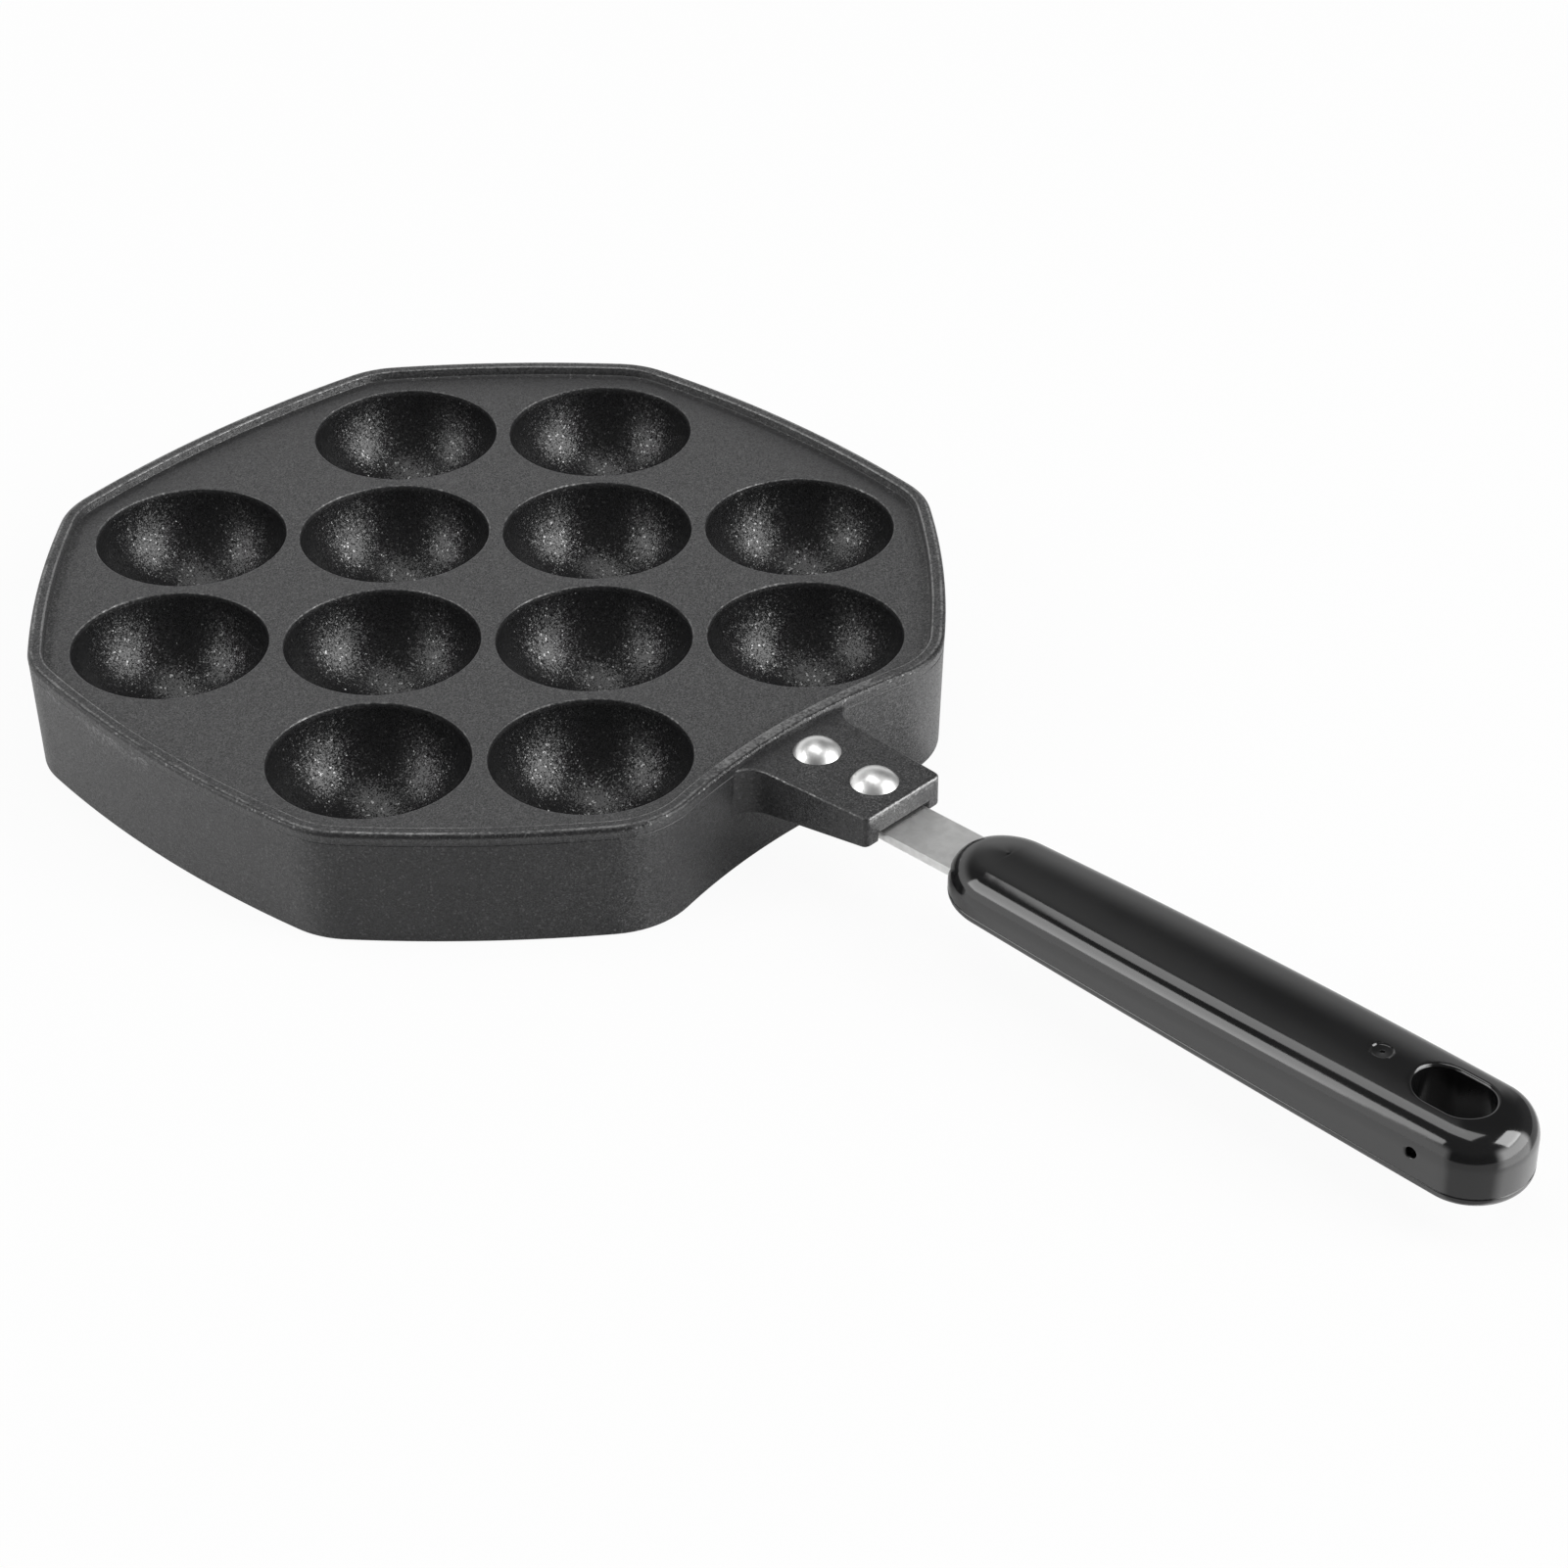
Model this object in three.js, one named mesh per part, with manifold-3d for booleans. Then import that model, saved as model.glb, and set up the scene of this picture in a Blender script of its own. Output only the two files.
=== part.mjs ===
// Stovetop takoyaki pan: one aluminium casting with twelve round cups, a riveted steel strap and a
// moulded grip. Millimetres, +Z up. The handle points along +X and the cup grid is turned 45 degrees
// to it. The origin is the middle of the whole object's footprint, on the base plane.
import * as THREE from 'three';
import { mergeVertices } from 'three/addons/utils/BufferGeometryUtils.js';
import Module from 'manifold-3d';

// Cups
const cupPitch = 44;
const cupRowShares = [-1.5, -0.5, 0.5, 1.5]; // rows and columns of the grid, in pitches
const cupRadius = 20.5; // at the plate
const cupDepth = 19;
const cupWall = 3;
const cupLip = 0.6; // bevel round the mouth

// Pan outline seen from above: eight bowed sides with rounded corners
const flatMargin = 9.6; // outermost cup mouths to the outside of a side that faces a row of cups
const flatBow = 256; // radius of that side's outward bow
const diagonalMargin = 10; // the same for a side that cuts off a corner of the grid
const diagonalBow = 264;
const handleSideDip = 6; // the side that carries the handle is hollow, this much deeper in
const handleSideHollow = 152;
const cornerRadius = 20;

// Pan section
const rimHeight = 2.1; // rim top above the plate
const rimWidth = 2.9;
const rimSlope = 0.4; // how far the rim's inner face leans out over its height
const footClearance = 1.9; // the cups' undersides above the base
const edgeBreak = 0.5; // softened edge at the rim's top and at the foot of the skirt
const wallDraft = 0.9; // how far the outer wall leans in from the rim to the base
const plateThickness = 3.4;
const skirtThickness = 3;
const skirtTaper = 1.6; // extra thickness of the skirt where it meets the plate

// Handle strap and the clearance between pieces that fit into each other
const seatGap = 0.3;
const strapHalfWidth = 6.2;
const strapThickness = 1.8;
const strapInGrip = 80.4; // length inside the grip
const strapCorner = 2;
const anchorSetback = 10; // hole that the moulding fills, from the strap's end
const anchorRadius = 3;

// Lug cast on the handle side, measured from the wall and from the rim
const lugLength = 31.1;
const lugDrop = 1.7; // its top below the rim
const lugRoof = 5; // thickness over the strap
const lugDepthAtEnd = 6.7;
const lugDepthAtRoot = 11.1;
const lugCheek = 3.5; // wall beside the groove, at the end
const lugTaper = 1.3; // extra half width at the root
const lugFlare = 7; // size of the root's curve into the wall
const lugCorner = 1.6;
const channelPlay = 1.2; // room beside the strap in the groove
const channelSetback = 1.3; // start of the groove, from the wall

// Rivets
const rivetSetbacks = [7.9, 23.3]; // from the wall
const rivetHeadRadius = 4.9;
const rivetHeadHeight = 2.8;
const rivetShankRadius = 2.4;
const rivetTailRadius = 4.2;
const rivetTailHeight = 1.6;

// Grip
const gripStandoff = 14.8; // bare strap between lug and grip
const gripLength = 131.3;
const gripFrontRound = 12.4; // length of the rounded front in plan
const gripRearRound = 10.8;
const gripHalfWidths = [10.8, 12.4, 11.9]; // front, middle, rear
const gripRises = [4.3, 4.3, 3.6]; // shoulder of the top above the strap
const gripDrops = [3.9, 5.7, 8.8]; // bottom below the strap
const gripTopRound = 6.6;
const gripCrownSlope = 0.19; // slope of the crowned top where it meets the rounding
const gripBottomRound = 1.5;
const hangHoleSetback = 16.1; // middle of the hanging hole, from the grip's rear end
const hangHoleLength = 15.6;
const hangHoleWidth = 11;
const hangHoleLip = 0.8;
const sideHoleRadius = 1.1; // blind hole in each side, level with the hanging hole
const sideHoleDepth = 3;
const sideHoleDrop = 1; // its middle below the strap
const dimpleSetback = 15.6; // from the hanging hole
const dimpleRadius = 2.4;
const dimpleDepth = 0.7;

const overrun = 2; // how far a cutter reaches past what it cuts

// Places along the handle, from the pan's centre
const gridEdge = Math.max(...cupRowShares);
const gridStep = cupPitch * Math.SQRT1_2;
const flatReach = gridEdge * cupPitch + cupRadius + flatMargin;
const diagonalReach = (2 * gridEdge - 1) * gridStep + cupRadius + diagonalMargin;
const handleSideReach = diagonalReach - handleSideDip;
const lugEnd = handleSideReach + lugLength;
const channelStart = handleSideReach + channelSetback;
const rivetX = rivetSetbacks.map((setback) => handleSideReach + setback);
const gripFront = lugEnd + gripStandoff;
const gripRear = gripFront + gripLength;
const strapStart = channelStart + seatGap;
const strapEnd = gripFront + strapInGrip;
const anchorX = strapEnd - anchorSetback;
const hangHoleX = gripRear - hangHoleSetback;
const dimpleX = hangHoleX - dimpleSetback;

// Heights above the base
const panHeight = footClearance + cupWall + cupDepth + rimHeight;
const plateTop = panHeight - rimHeight;
const lugTop = panHeight - lugDrop;
const channelRoof = lugTop - lugRoof;
const strapTop = channelRoof - seatGap;
const strapBottom = strapTop - strapThickness;

// The channel clears the strap, and the lug's cheeks stand beside the channel
const channelHalfWidth = strapHalfWidth + channelPlay;
const lugHalfWidthAtEnd = channelHalfWidth + lugCheek;
const lugHalfWidthAtRoot = lugHalfWidthAtEnd + lugTaper;

const wasm = await Module();
wasm.setup();

// Solids: a closed geometry as a boolean body, and back again
function solid(geometry) {
  const bare = geometry.clone();
  bare.deleteAttribute('normal');
  bare.deleteAttribute('uv');
  const merged = mergeVertices(bare);
  return new wasm.Manifold(new wasm.Mesh({
    numProp: 3,
    vertProperties: new Float32Array(merged.attributes.position.array),
    triVerts: new Uint32Array(merged.index.array),
  }));
}

function geometryOf(body) {
  const mesh = body.getMesh();
  const geometry = new THREE.BufferGeometry();
  geometry.setAttribute('position', new THREE.BufferAttribute(mesh.vertProperties, 3));
  geometry.setIndex(new THREE.BufferAttribute(mesh.triVerts, 1));
  geometry.computeVertexNormals();
  return geometry;
}

// Loft: closed skin through rings of equal count that run anticlockwise, lowest ring first
function loft(rings) {
  const count = rings[0].length;
  const positions = rings.flat().flatMap((p) => [p.x, p.y, p.z]);
  const index = [];
  for (let r = 0; r + 1 < rings.length; r += 1) {
    for (let i = 0; i < count; i += 1) {
      const a = r * count + i;
      const b = r * count + ((i + 1) % count);
      index.push(a, b, b + count, a, b + count, a + count);
    }
  }
  const cap = (ring) => THREE.ShapeUtils.triangulateShape(ring.map((p) => new THREE.Vector2(p.x, p.y)), []);
  const top = (rings.length - 1) * count;
  cap(rings[0]).forEach(([a, b, c]) => index.push(a, c, b));
  cap(rings.at(-1)).forEach(([a, b, c]) => index.push(top + a, top + b, top + c));
  const geometry = new THREE.BufferGeometry();
  geometry.setAttribute('position', new THREE.Float32BufferAttribute(positions, 3));
  geometry.setIndex(index);
  return solid(geometry);
}

// Prism: an outline in the XY plane carried up from one height to another
function prism(shape, bottom, top, curveSegments = 8) {
  const depth = top - bottom;
  const geometry = new THREE.ExtrudeGeometry(shape, { depth, bevelEnabled: false, curveSegments });
  return solid(geometry.translate(0, 0, bottom));
}

function disc(radius, bottom, top, x, segments = 20) {
  const geometry = new THREE.CylinderGeometry(radius, radius, top - bottom, segments).rotateX(Math.PI / 2);
  return solid(geometry.translate(x, 0, (top + bottom) / 2));
}

// Lathe: a profile of [radius, height] pairs turned about a vertical axis
function lathe(profile, segments) {
  const points = profile.map(([radius, height]) => new THREE.Vector2(radius, height));
  return solid(new THREE.LatheGeometry(points, segments).rotateX(Math.PI / 2));
}

// Points on an arc between two angles, both ends included
function arc(centreX, centreY, radius, from, to, steps) {
  return Array.from({ length: steps + 1 }, (_, i) => {
    const angle = from + ((to - from) * i) / steps;
    return [centreX + radius * Math.cos(angle), centreY + radius * Math.sin(angle)];
  });
}

function ray(angle) {
  return new THREE.Vector2(Math.cos(angle), Math.sin(angle));
}

// Pan outline: points with outward normals, anticlockwise from the handle side's lower end
function panOutline() {
  const cornerSteps = 4;
  const sides = Array.from({ length: 8 }, (_, i) => {
    let [reach, bow] = i % 2 ? [flatReach, flatBow] : [diagonalReach, diagonalBow];
    if (i === 0) [reach, bow] = [handleSideReach, -handleSideHollow];
    return { centre: ray((i * Math.PI) / 4).multiplyScalar(reach - bow), bow };
  });
  // A corner's centre lies one corner radius inside both of its sides
  const corners = sides.map((side, i) => {
    const next = sides[(i + 1) % 8];
    const across = next.centre.clone().sub(side.centre);
    const span = across.length();
    const toSide = Math.abs(side.bow - cornerRadius);
    const toNext = Math.abs(next.bow - cornerRadius);
    const along = (toSide ** 2 - toNext ** 2 + span ** 2) / (2 * span);
    const off = Math.sqrt(toSide ** 2 - along ** 2);
    const foot = side.centre.clone().addScaledVector(across.normalize(), along);
    const square = new THREE.Vector2(-across.y, across.x);
    const facing = ray(((i + 0.5) * Math.PI) / 4);
    const found = [off, -off].map((reach) => foot.clone().addScaledVector(square, reach));
    return found[0].dot(facing) > found[1].dot(facing) ? found[0] : found[1];
  });
  const wrap = (angle) => Math.atan2(Math.sin(angle), Math.cos(angle));
  const outline = [];
  sides.forEach((side, i) => {
    const steps = i === 0 ? 10 : 8;
    const toward = Math.sign(side.bow);
    const from = corners[(i + 7) % 8].clone().sub(side.centre).angle();
    const turn = wrap(corners[i].clone().sub(side.centre).angle() - from);
    for (let k = 0; k <= steps; k += 1) {
      const spoke = ray(from + (turn * k) / steps);
      const point = side.centre.clone().addScaledVector(spoke, Math.abs(side.bow));
      outline.push({ point, normal: spoke.multiplyScalar(toward) });
    }
    const next = sides[(i + 1) % 8];
    const start = outline.at(-1).normal.angle();
    const end = corners[i].clone().sub(next.centre).multiplyScalar(Math.sign(next.bow)).angle();
    for (let k = 1; k < cornerSteps; k += 1) {
      const normal = ray(start + (wrap(end - start) * k) / cornerSteps);
      outline.push({ point: corners[i].clone().addScaledVector(normal, cornerRadius), normal });
    }
  });
  return outline;
}

const outline = panOutline();

// One ring of the pan: the outline moved in by an inset, at a height
function panRing(inset, height) {
  return outline.map(({ point, normal }) => new THREE.Vector3(
    point.x - normal.x * inset,
    point.y - normal.y * inset,
    height,
  ));
}

// Cup grid: every row and column but the four corners
function cupPlaces() {
  return cupRowShares.flatMap((row) => cupRowShares
    .filter((column) => Math.abs(row) < gridEdge || Math.abs(column) < gridEdge)
    .map((column) => [gridStep * (column - row), gridStep * (column + row), 0]));
}

// Cup: the bowl's round and the bump below it share one centre
const bowlRadius = (cupRadius ** 2 + cupDepth ** 2) / (2 * cupDepth);
const bowlCentre = plateTop - cupDepth + bowlRadius;

function cupBump() {
  const radius = bowlRadius + cupWall;
  const seam = plateTop - plateThickness / 2;
  const rise = Math.asin((seam - bowlCentre) / radius);
  return lathe([...arc(0, bowlCentre, radius, -Math.PI / 2, rise, 5), [0, seam]], 20);
}

function cupBowl() {
  const mouth = Math.asin((plateTop - cupLip - bowlCentre) / bowlRadius);
  const lipRadius = cupRadius + cupLip;
  return lathe([
    ...arc(0, bowlCentre, bowlRadius, -Math.PI / 2, mouth, 5),
    [lipRadius, plateTop],
    [lipRadius, panHeight],
    [0, panHeight],
  ], 24);
}

// Lug: a flared tongue from the wall, with a sloping underside
function lug() {
  const inWall = handleSideReach - skirtThickness / 2;
  const flareY = lugHalfWidthAtRoot + lugFlare;
  const hollowAtFlare = handleSideHollow - Math.sqrt(handleSideHollow ** 2 - flareY ** 2);
  const wallAtFlare = handleSideReach - wallDraft + hollowAtFlare;
  const shape = new THREE.Shape();
  shape.moveTo(inWall, -flareY);
  shape.lineTo(wallAtFlare, -flareY);
  shape.quadraticCurveTo(wallAtFlare, -lugHalfWidthAtRoot, wallAtFlare + lugFlare, -lugHalfWidthAtRoot);
  shape.lineTo(lugEnd - lugCorner, -lugHalfWidthAtEnd);
  shape.quadraticCurveTo(lugEnd, -lugHalfWidthAtEnd, lugEnd, -lugHalfWidthAtEnd + lugCorner);
  shape.lineTo(lugEnd, lugHalfWidthAtEnd - lugCorner);
  shape.quadraticCurveTo(lugEnd, lugHalfWidthAtEnd, lugEnd - lugCorner, lugHalfWidthAtEnd);
  shape.lineTo(wallAtFlare + lugFlare, lugHalfWidthAtRoot);
  shape.quadraticCurveTo(wallAtFlare, lugHalfWidthAtRoot, wallAtFlare, flareY);
  shape.lineTo(inWall, flareY);
  const side = new THREE.Shape([
    new THREE.Vector2(inWall, lugTop - lugDepthAtRoot),
    new THREE.Vector2(lugEnd + overrun, lugTop - lugDepthAtEnd),
    new THREE.Vector2(lugEnd + overrun, lugTop + overrun),
    new THREE.Vector2(inWall, lugTop + overrun),
  ]);
  const width = 2 * (flareY + overrun);
  const sideBody = new THREE.ExtrudeGeometry(side, { depth: width, bevelEnabled: false });
  sideBody.rotateX(Math.PI / 2).translate(0, width / 2, 0);
  return prism(shape, 0, lugTop, 5).intersect(solid(sideBody));
}

function panBody() {
  const outer = loft([
    panRing(wallDraft + edgeBreak, 0),
    panRing(wallDraft, edgeBreak),
    panRing(0, panHeight - edgeBreak),
    panRing(edgeBreak, panHeight),
  ]);
  const tray = loft([
    panRing(rimWidth + rimSlope, plateTop),
    panRing(rimWidth, panHeight),
    panRing(rimWidth, panHeight + overrun),
  ]);
  const skirtInset = wallDraft + skirtThickness;
  const hollow = loft([
    panRing(skirtInset, -overrun),
    panRing(skirtInset, 0),
    panRing(skirtInset + skirtTaper, plateTop - plateThickness),
  ]);
  const places = cupPlaces();
  const bump = cupBump();
  const bowl = cupBowl();
  let body = outer.subtract(tray).subtract(hollow).add(lug());
  places.forEach((place) => {
    body = body.add(bump.translate(place));
  });
  places.forEach((place) => {
    body = body.subtract(bowl.translate(place));
  });
  const grooveLength = lugEnd + overrun - channelStart;
  const groove = new THREE.BoxGeometry(grooveLength, 2 * channelHalfWidth, channelRoof);
  body = body.subtract(solid(groove.translate(channelStart + grooveLength / 2, 0, channelRoof / 2)));
  rivetX.forEach((x) => {
    body = body.subtract(disc(rivetShankRadius + seatGap, channelRoof - overrun, lugTop + overrun, x));
  });
  return body;
}

// Strap outline in plan, grown by a clearance, with the corners of its far end rounded
function strapShape(clearance, start) {
  const half = strapHalfWidth + clearance;
  const end = strapEnd + clearance;
  const shape = new THREE.Shape();
  shape.moveTo(start, -half);
  shape.lineTo(end - strapCorner, -half);
  shape.quadraticCurveTo(end, -half, end, -half + strapCorner);
  shape.lineTo(end, half - strapCorner);
  shape.quadraticCurveTo(end, half, end - strapCorner, half);
  shape.lineTo(start, half);
  return shape;
}

function roundHole(x, radius) {
  const hole = new THREE.Path();
  hole.absarc(x, 0, radius, 0, 2 * Math.PI, true);
  return hole;
}

function handleStrap() {
  const shape = strapShape(0, strapStart);
  shape.holes.push(...rivetX.map((x) => roundHole(x, rivetShankRadius + seatGap)));
  shape.holes.push(roundHole(anchorX, anchorRadius));
  return prism(shape, strapBottom, strapTop);
}

// Rivet: domed head on the lug, shank through lug and strap, flat tail under the strap
function rivet() {
  const domeRadius = (rivetHeadRadius ** 2 + rivetHeadHeight ** 2) / (2 * rivetHeadHeight);
  const domeCentre = lugTop + rivetHeadHeight - domeRadius;
  const rim = Math.asin((lugTop - domeCentre) / domeRadius);
  return lathe([
    [0, strapBottom - rivetTailHeight],
    [rivetTailRadius - edgeBreak, strapBottom - rivetTailHeight],
    [rivetTailRadius, strapBottom - rivetTailHeight + edgeBreak],
    [rivetTailRadius, strapBottom],
    [rivetShankRadius, strapBottom],
    [rivetShankRadius, lugTop],
    ...arc(0, domeCentre, domeRadius, rim, Math.PI / 2, 5),
  ], 24);
}

// Value along the grip from its front, middle and rear values, on a parabola
function alongGrip([front, middle, rear], x) {
  const t = (x - gripFront) / gripLength;
  return front * (1 - t) * (1 - 2 * t) + middle * 4 * t * (1 - t) + rear * t * (2 * t - 1);
}

function gripShoulder(x) {
  return strapTop + alongGrip(gripRises, x);
}

function gripBottom(x) {
  return strapBottom - alongGrip(gripDrops, x);
}

// The top's rounding stops short of level, and the crown goes on from there
const crownTurn = Math.atan(gripCrownSlope);
const crownInset = gripTopRound * (1 - Math.sin(crownTurn));
const crownDrop = gripTopRound * (1 - Math.cos(crownTurn));

function gripTop(x) {
  const half = alongGrip(gripHalfWidths, x) - crownInset;
  return gripShoulder(x) - crownDrop + (gripCrownSlope * half) / 2;
}

// Grip outline in plan: elliptical ends joined by long sides, anticlockwise from the nose
function gripOutline() {
  const noseEnd = gripFront + gripFrontRound;
  const tailStart = gripRear - gripRearRound;
  const endSteps = 7;
  const sideSteps = 8;
  const quarters = Array.from({ length: endSteps + 1 }, (_, i) => ((i / endSteps) * Math.PI) / 2);
  const near = quarters.map((angle) => (
    { x: noseEnd - gripFrontRound * Math.cos(angle), lean: -Math.cos(angle), wide: Math.sin(angle) }));
  for (let i = 1; i < sideSteps; i += 1) {
    near.push({ x: noseEnd + ((tailStart - noseEnd) * i) / sideSteps, lean: 0, wide: 1 });
  }
  near.push(...quarters.toReversed().map((angle) => (
    { x: tailStart + gripRearRound * Math.cos(angle), lean: Math.cos(angle), wide: Math.sin(angle) })));
  const far = near.slice(1, -1).reverse();
  const point = (side) => ({ x, lean, wide }) => ({
    x,
    y: side * wide * alongGrip(gripHalfWidths, x),
    nx: lean,
    ny: side * wide,
    spineX: THREE.MathUtils.clamp(x, noseEnd, tailStart),
  });
  return [...near.map(point(-1)), ...far.map(point(1))];
}

// Grip skin: rounded lower edge, upright sides, large upper rounding and a crowned top
function gripSkin() {
  const plan = gripOutline();
  const ring = (inset, heightAt) => plan.map(({ x, y, nx, ny }) => (
    new THREE.Vector3(x - nx * inset, y - ny * inset, heightAt(x))));
  const rings = [];
  arc(0, 0, gripBottomRound, 0, Math.PI / 2, 2).forEach(([away, along]) => {
    rings.push(ring(gripBottomRound - along, (x) => gripBottom(x) + gripBottomRound - away));
  });
  arc(0, 0, gripTopRound, 0, Math.PI / 2 - crownTurn, 5).forEach(([away, along]) => {
    rings.push(ring(gripTopRound - away, (x) => gripShoulder(x) - gripTopRound + along));
  });
  const crownRingShares = [0.4, 0.85];
  const shoulder = rings.at(-1);
  crownRingShares.forEach((share) => {
    rings.push(shoulder.map((p, i) => {
      const spine = new THREE.Vector3(plan[i].spineX, 0, p.z);
      const rise = gripCrownSlope * p.distanceTo(spine) * share * (1 - share / 2);
      return p.clone().lerp(spine, share).add(new THREE.Vector3(0, 0, rise));
    }));
  });
  return loft(rings);
}

// Hanging hole: a slot with round ends whose mouths open out by the lip
function hangHole(floor, ceiling) {
  const slotRing = (grow, height) => {
    const radius = hangHoleWidth / 2 + grow;
    const half = (hangHoleLength - hangHoleWidth) / 2;
    return [
      ...arc(hangHoleX + half, 0, radius, -Math.PI / 2, Math.PI / 2, 8),
      ...arc(hangHoleX - half, 0, radius, Math.PI / 2, (3 * Math.PI) / 2, 8),
    ].map(([x, y]) => new THREE.Vector3(x, y, height));
  };
  const mouth = (gripTop(hangHoleX) + gripShoulder(hangHoleX)) / 2;
  const sole = gripBottom(hangHoleX);
  return loft([
    slotRing(hangHoleLip, floor),
    slotRing(hangHoleLip, sole),
    slotRing(0, sole + hangHoleLip),
    slotRing(0, mouth - hangHoleLip),
    slotRing(hangHoleLip, mouth),
    slotRing(hangHoleLip, ceiling),
  ]);
}

// Side hole: blind, from one side face of the grip
function sideHole(side) {
  const face = alongGrip(gripHalfWidths, hangHoleX);
  const length = sideHoleDepth + overrun;
  const hole = new THREE.CylinderGeometry(sideHoleRadius, sideHoleRadius, length, 12);
  const middle = face - sideHoleDepth + length / 2;
  return solid(hole.translate(hangHoleX, side * middle, strapBottom - sideHoleDrop));
}

// Dimple: a shallow dish in the grip's top
function dimple() {
  const top = gripTop(dimpleX);
  return lathe([
    [0, top - dimpleDepth],
    [dimpleRadius / 2, top - dimpleDepth],
    [dimpleRadius, top],
    [dimpleRadius, top + overrun],
    [0, top + overrun],
  ], 16).translate([dimpleX, 0, 0]);
}

function handleGrip() {
  const floor = strapBottom - Math.max(...gripDrops) - overrun;
  const ceiling = strapTop + Math.max(...gripRises) + gripTopRound;
  const pocket = prism(strapShape(seatGap, gripFront - overrun), strapBottom - seatGap, strapTop + seatGap);
  const post = disc(anchorRadius - seatGap, floor, ceiling, anchorX);
  return gripSkin()
    .subtract(pocket.subtract(post))
    .subtract(hangHole(floor, ceiling))
    .subtract(sideHole(-1))
    .subtract(sideHole(1))
    .subtract(dimple());
}

// Assembly
const finishes = {
  coating: { color: 0x3b3b3c, roughness: 0.55, metalness: 0.2 },
  steel: { color: 0xb4b4b2, roughness: 0.35, metalness: 1 },
  rivetMetal: { color: 0xe0e0de, roughness: 0.15, metalness: 1 },
  moulding: { color: 0x151516, roughness: 0.2, metalness: 0 },
};

function piece(name, body, finish) {
  const mesh = new THREE.Mesh(geometryOf(body), new THREE.MeshStandardMaterial(finishes[finish]));
  mesh.name = name;
  return mesh;
}

const pan = new THREE.Group();
// The footprint runs from the side opposite the handle to the grip's rear end
pan.position.x = (diagonalReach - gripRear) / 2;
pan.add(piece('pan_body', panBody(), 'coating'));
pan.add(piece('handle_strap', handleStrap(), 'steel'));
['rivet_inner', 'rivet_outer'].forEach((name, i) => {
  const fastener = piece(name, rivet(), 'rivetMetal');
  fastener.position.x = rivetX[i];
  pan.add(fastener);
});
pan.add(piece('handle_grip', handleGrip(), 'moulding'));

export default pan;
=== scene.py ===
# %% [markdown]
# # Takoyaki pan
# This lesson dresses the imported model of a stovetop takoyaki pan: one dark coated casting with twelve
# round cups, a steel strap, two rivets and a glossy black grip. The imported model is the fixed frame.
# Every piece here is a finer mesh of one of its solids and stands in the same place.

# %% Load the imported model
import cmath
import math

import bmesh
import bpy
import numpy as np
from mathutils import Matrix, Vector
from mathutils.bvhtree import BVHTree
from mathutils.geometry import delaunay_2d_cdt
from mathutils.kdtree import KDTree


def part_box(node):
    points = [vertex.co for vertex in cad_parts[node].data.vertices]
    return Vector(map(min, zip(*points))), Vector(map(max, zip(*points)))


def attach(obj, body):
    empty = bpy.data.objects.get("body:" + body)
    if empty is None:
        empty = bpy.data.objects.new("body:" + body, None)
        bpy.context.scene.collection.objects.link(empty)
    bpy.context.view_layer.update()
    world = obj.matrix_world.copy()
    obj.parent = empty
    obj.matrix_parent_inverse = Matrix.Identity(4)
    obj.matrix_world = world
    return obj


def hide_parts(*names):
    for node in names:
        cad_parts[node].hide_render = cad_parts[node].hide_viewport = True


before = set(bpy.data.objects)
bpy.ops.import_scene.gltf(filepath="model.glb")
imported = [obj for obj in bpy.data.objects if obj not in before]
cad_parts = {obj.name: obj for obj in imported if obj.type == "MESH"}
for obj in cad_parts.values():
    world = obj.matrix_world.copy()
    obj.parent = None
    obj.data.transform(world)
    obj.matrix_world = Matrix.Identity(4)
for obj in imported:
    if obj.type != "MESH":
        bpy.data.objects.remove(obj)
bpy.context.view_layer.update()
print("nodes:", ", ".join(sorted(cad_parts)))

# %% [markdown]
# ## The camera
# The photo looks down at the pan from beyond the handle's left side. The camera's place was worked out
# from the twelve cup mouths, which lie on a square grid, so the lens, the place and the heading are
# numbers here. A camera needs three directions: to its right, up, and back towards itself.

# %% Camera
camera_data = bpy.data.cameras.new("photo_camera")
camera_data.sensor_fit = "HORIZONTAL"
camera_data.sensor_width = 36
camera_data.lens = 87.257
camera_data.clip_start = 0.01
camera = bpy.data.objects.new("photo_camera", camera_data)
bpy.context.scene.collection.objects.link(camera)
bpy.context.scene.camera = camera
looking = Vector((-0.57035, 0.59666, -0.56460)).normalized()
rightward = Vector((0.72514, 0.68865, -0.0048))
rightward = (rightward - rightward.dot(looking) * looking).normalized()
upward = rightward.cross(looking)
camera.matrix_world = Matrix.Translation((0.43648, -0.45675, 0.44447)) @ Matrix(
    (rightward, upward, -looking)).transposed().to_4x4()
print("camera tilts down by", round(math.degrees(math.asin(-looking.z)), 1), "degrees")

# %% [markdown]
# ## Building with nodes
# A material or a world is a small graph. The first helper makes one node: a plain value is typed into a
# socket, and another node's output is wired to it. The others are for the nodes that come back often.

# %% Node helpers
def add_node(tree, kind, inputs=None, **settings):
    made = tree.nodes.new(kind)
    for name, value in settings.items():
        setattr(made, name, value)
    for name, value in (inputs or {}).items():
        if isinstance(value, bpy.types.NodeSocket):
            tree.links.new(value, made.inputs[name])
        else:
            made.inputs[name].default_value = value
    return made


def maths(tree, operation, first, second):
    return add_node(tree, "ShaderNodeMath", {0: first, 1: second}, operation=operation).outputs[0]


def blend(tree, factor, first, second):
    """The first colour at factor 0, the second at factor 1."""
    mix = add_node(tree, "ShaderNodeMix", {"Factor": factor, "A": first, "B": second}, data_type="RGBA")
    return mix.outputs["Result"]


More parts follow.
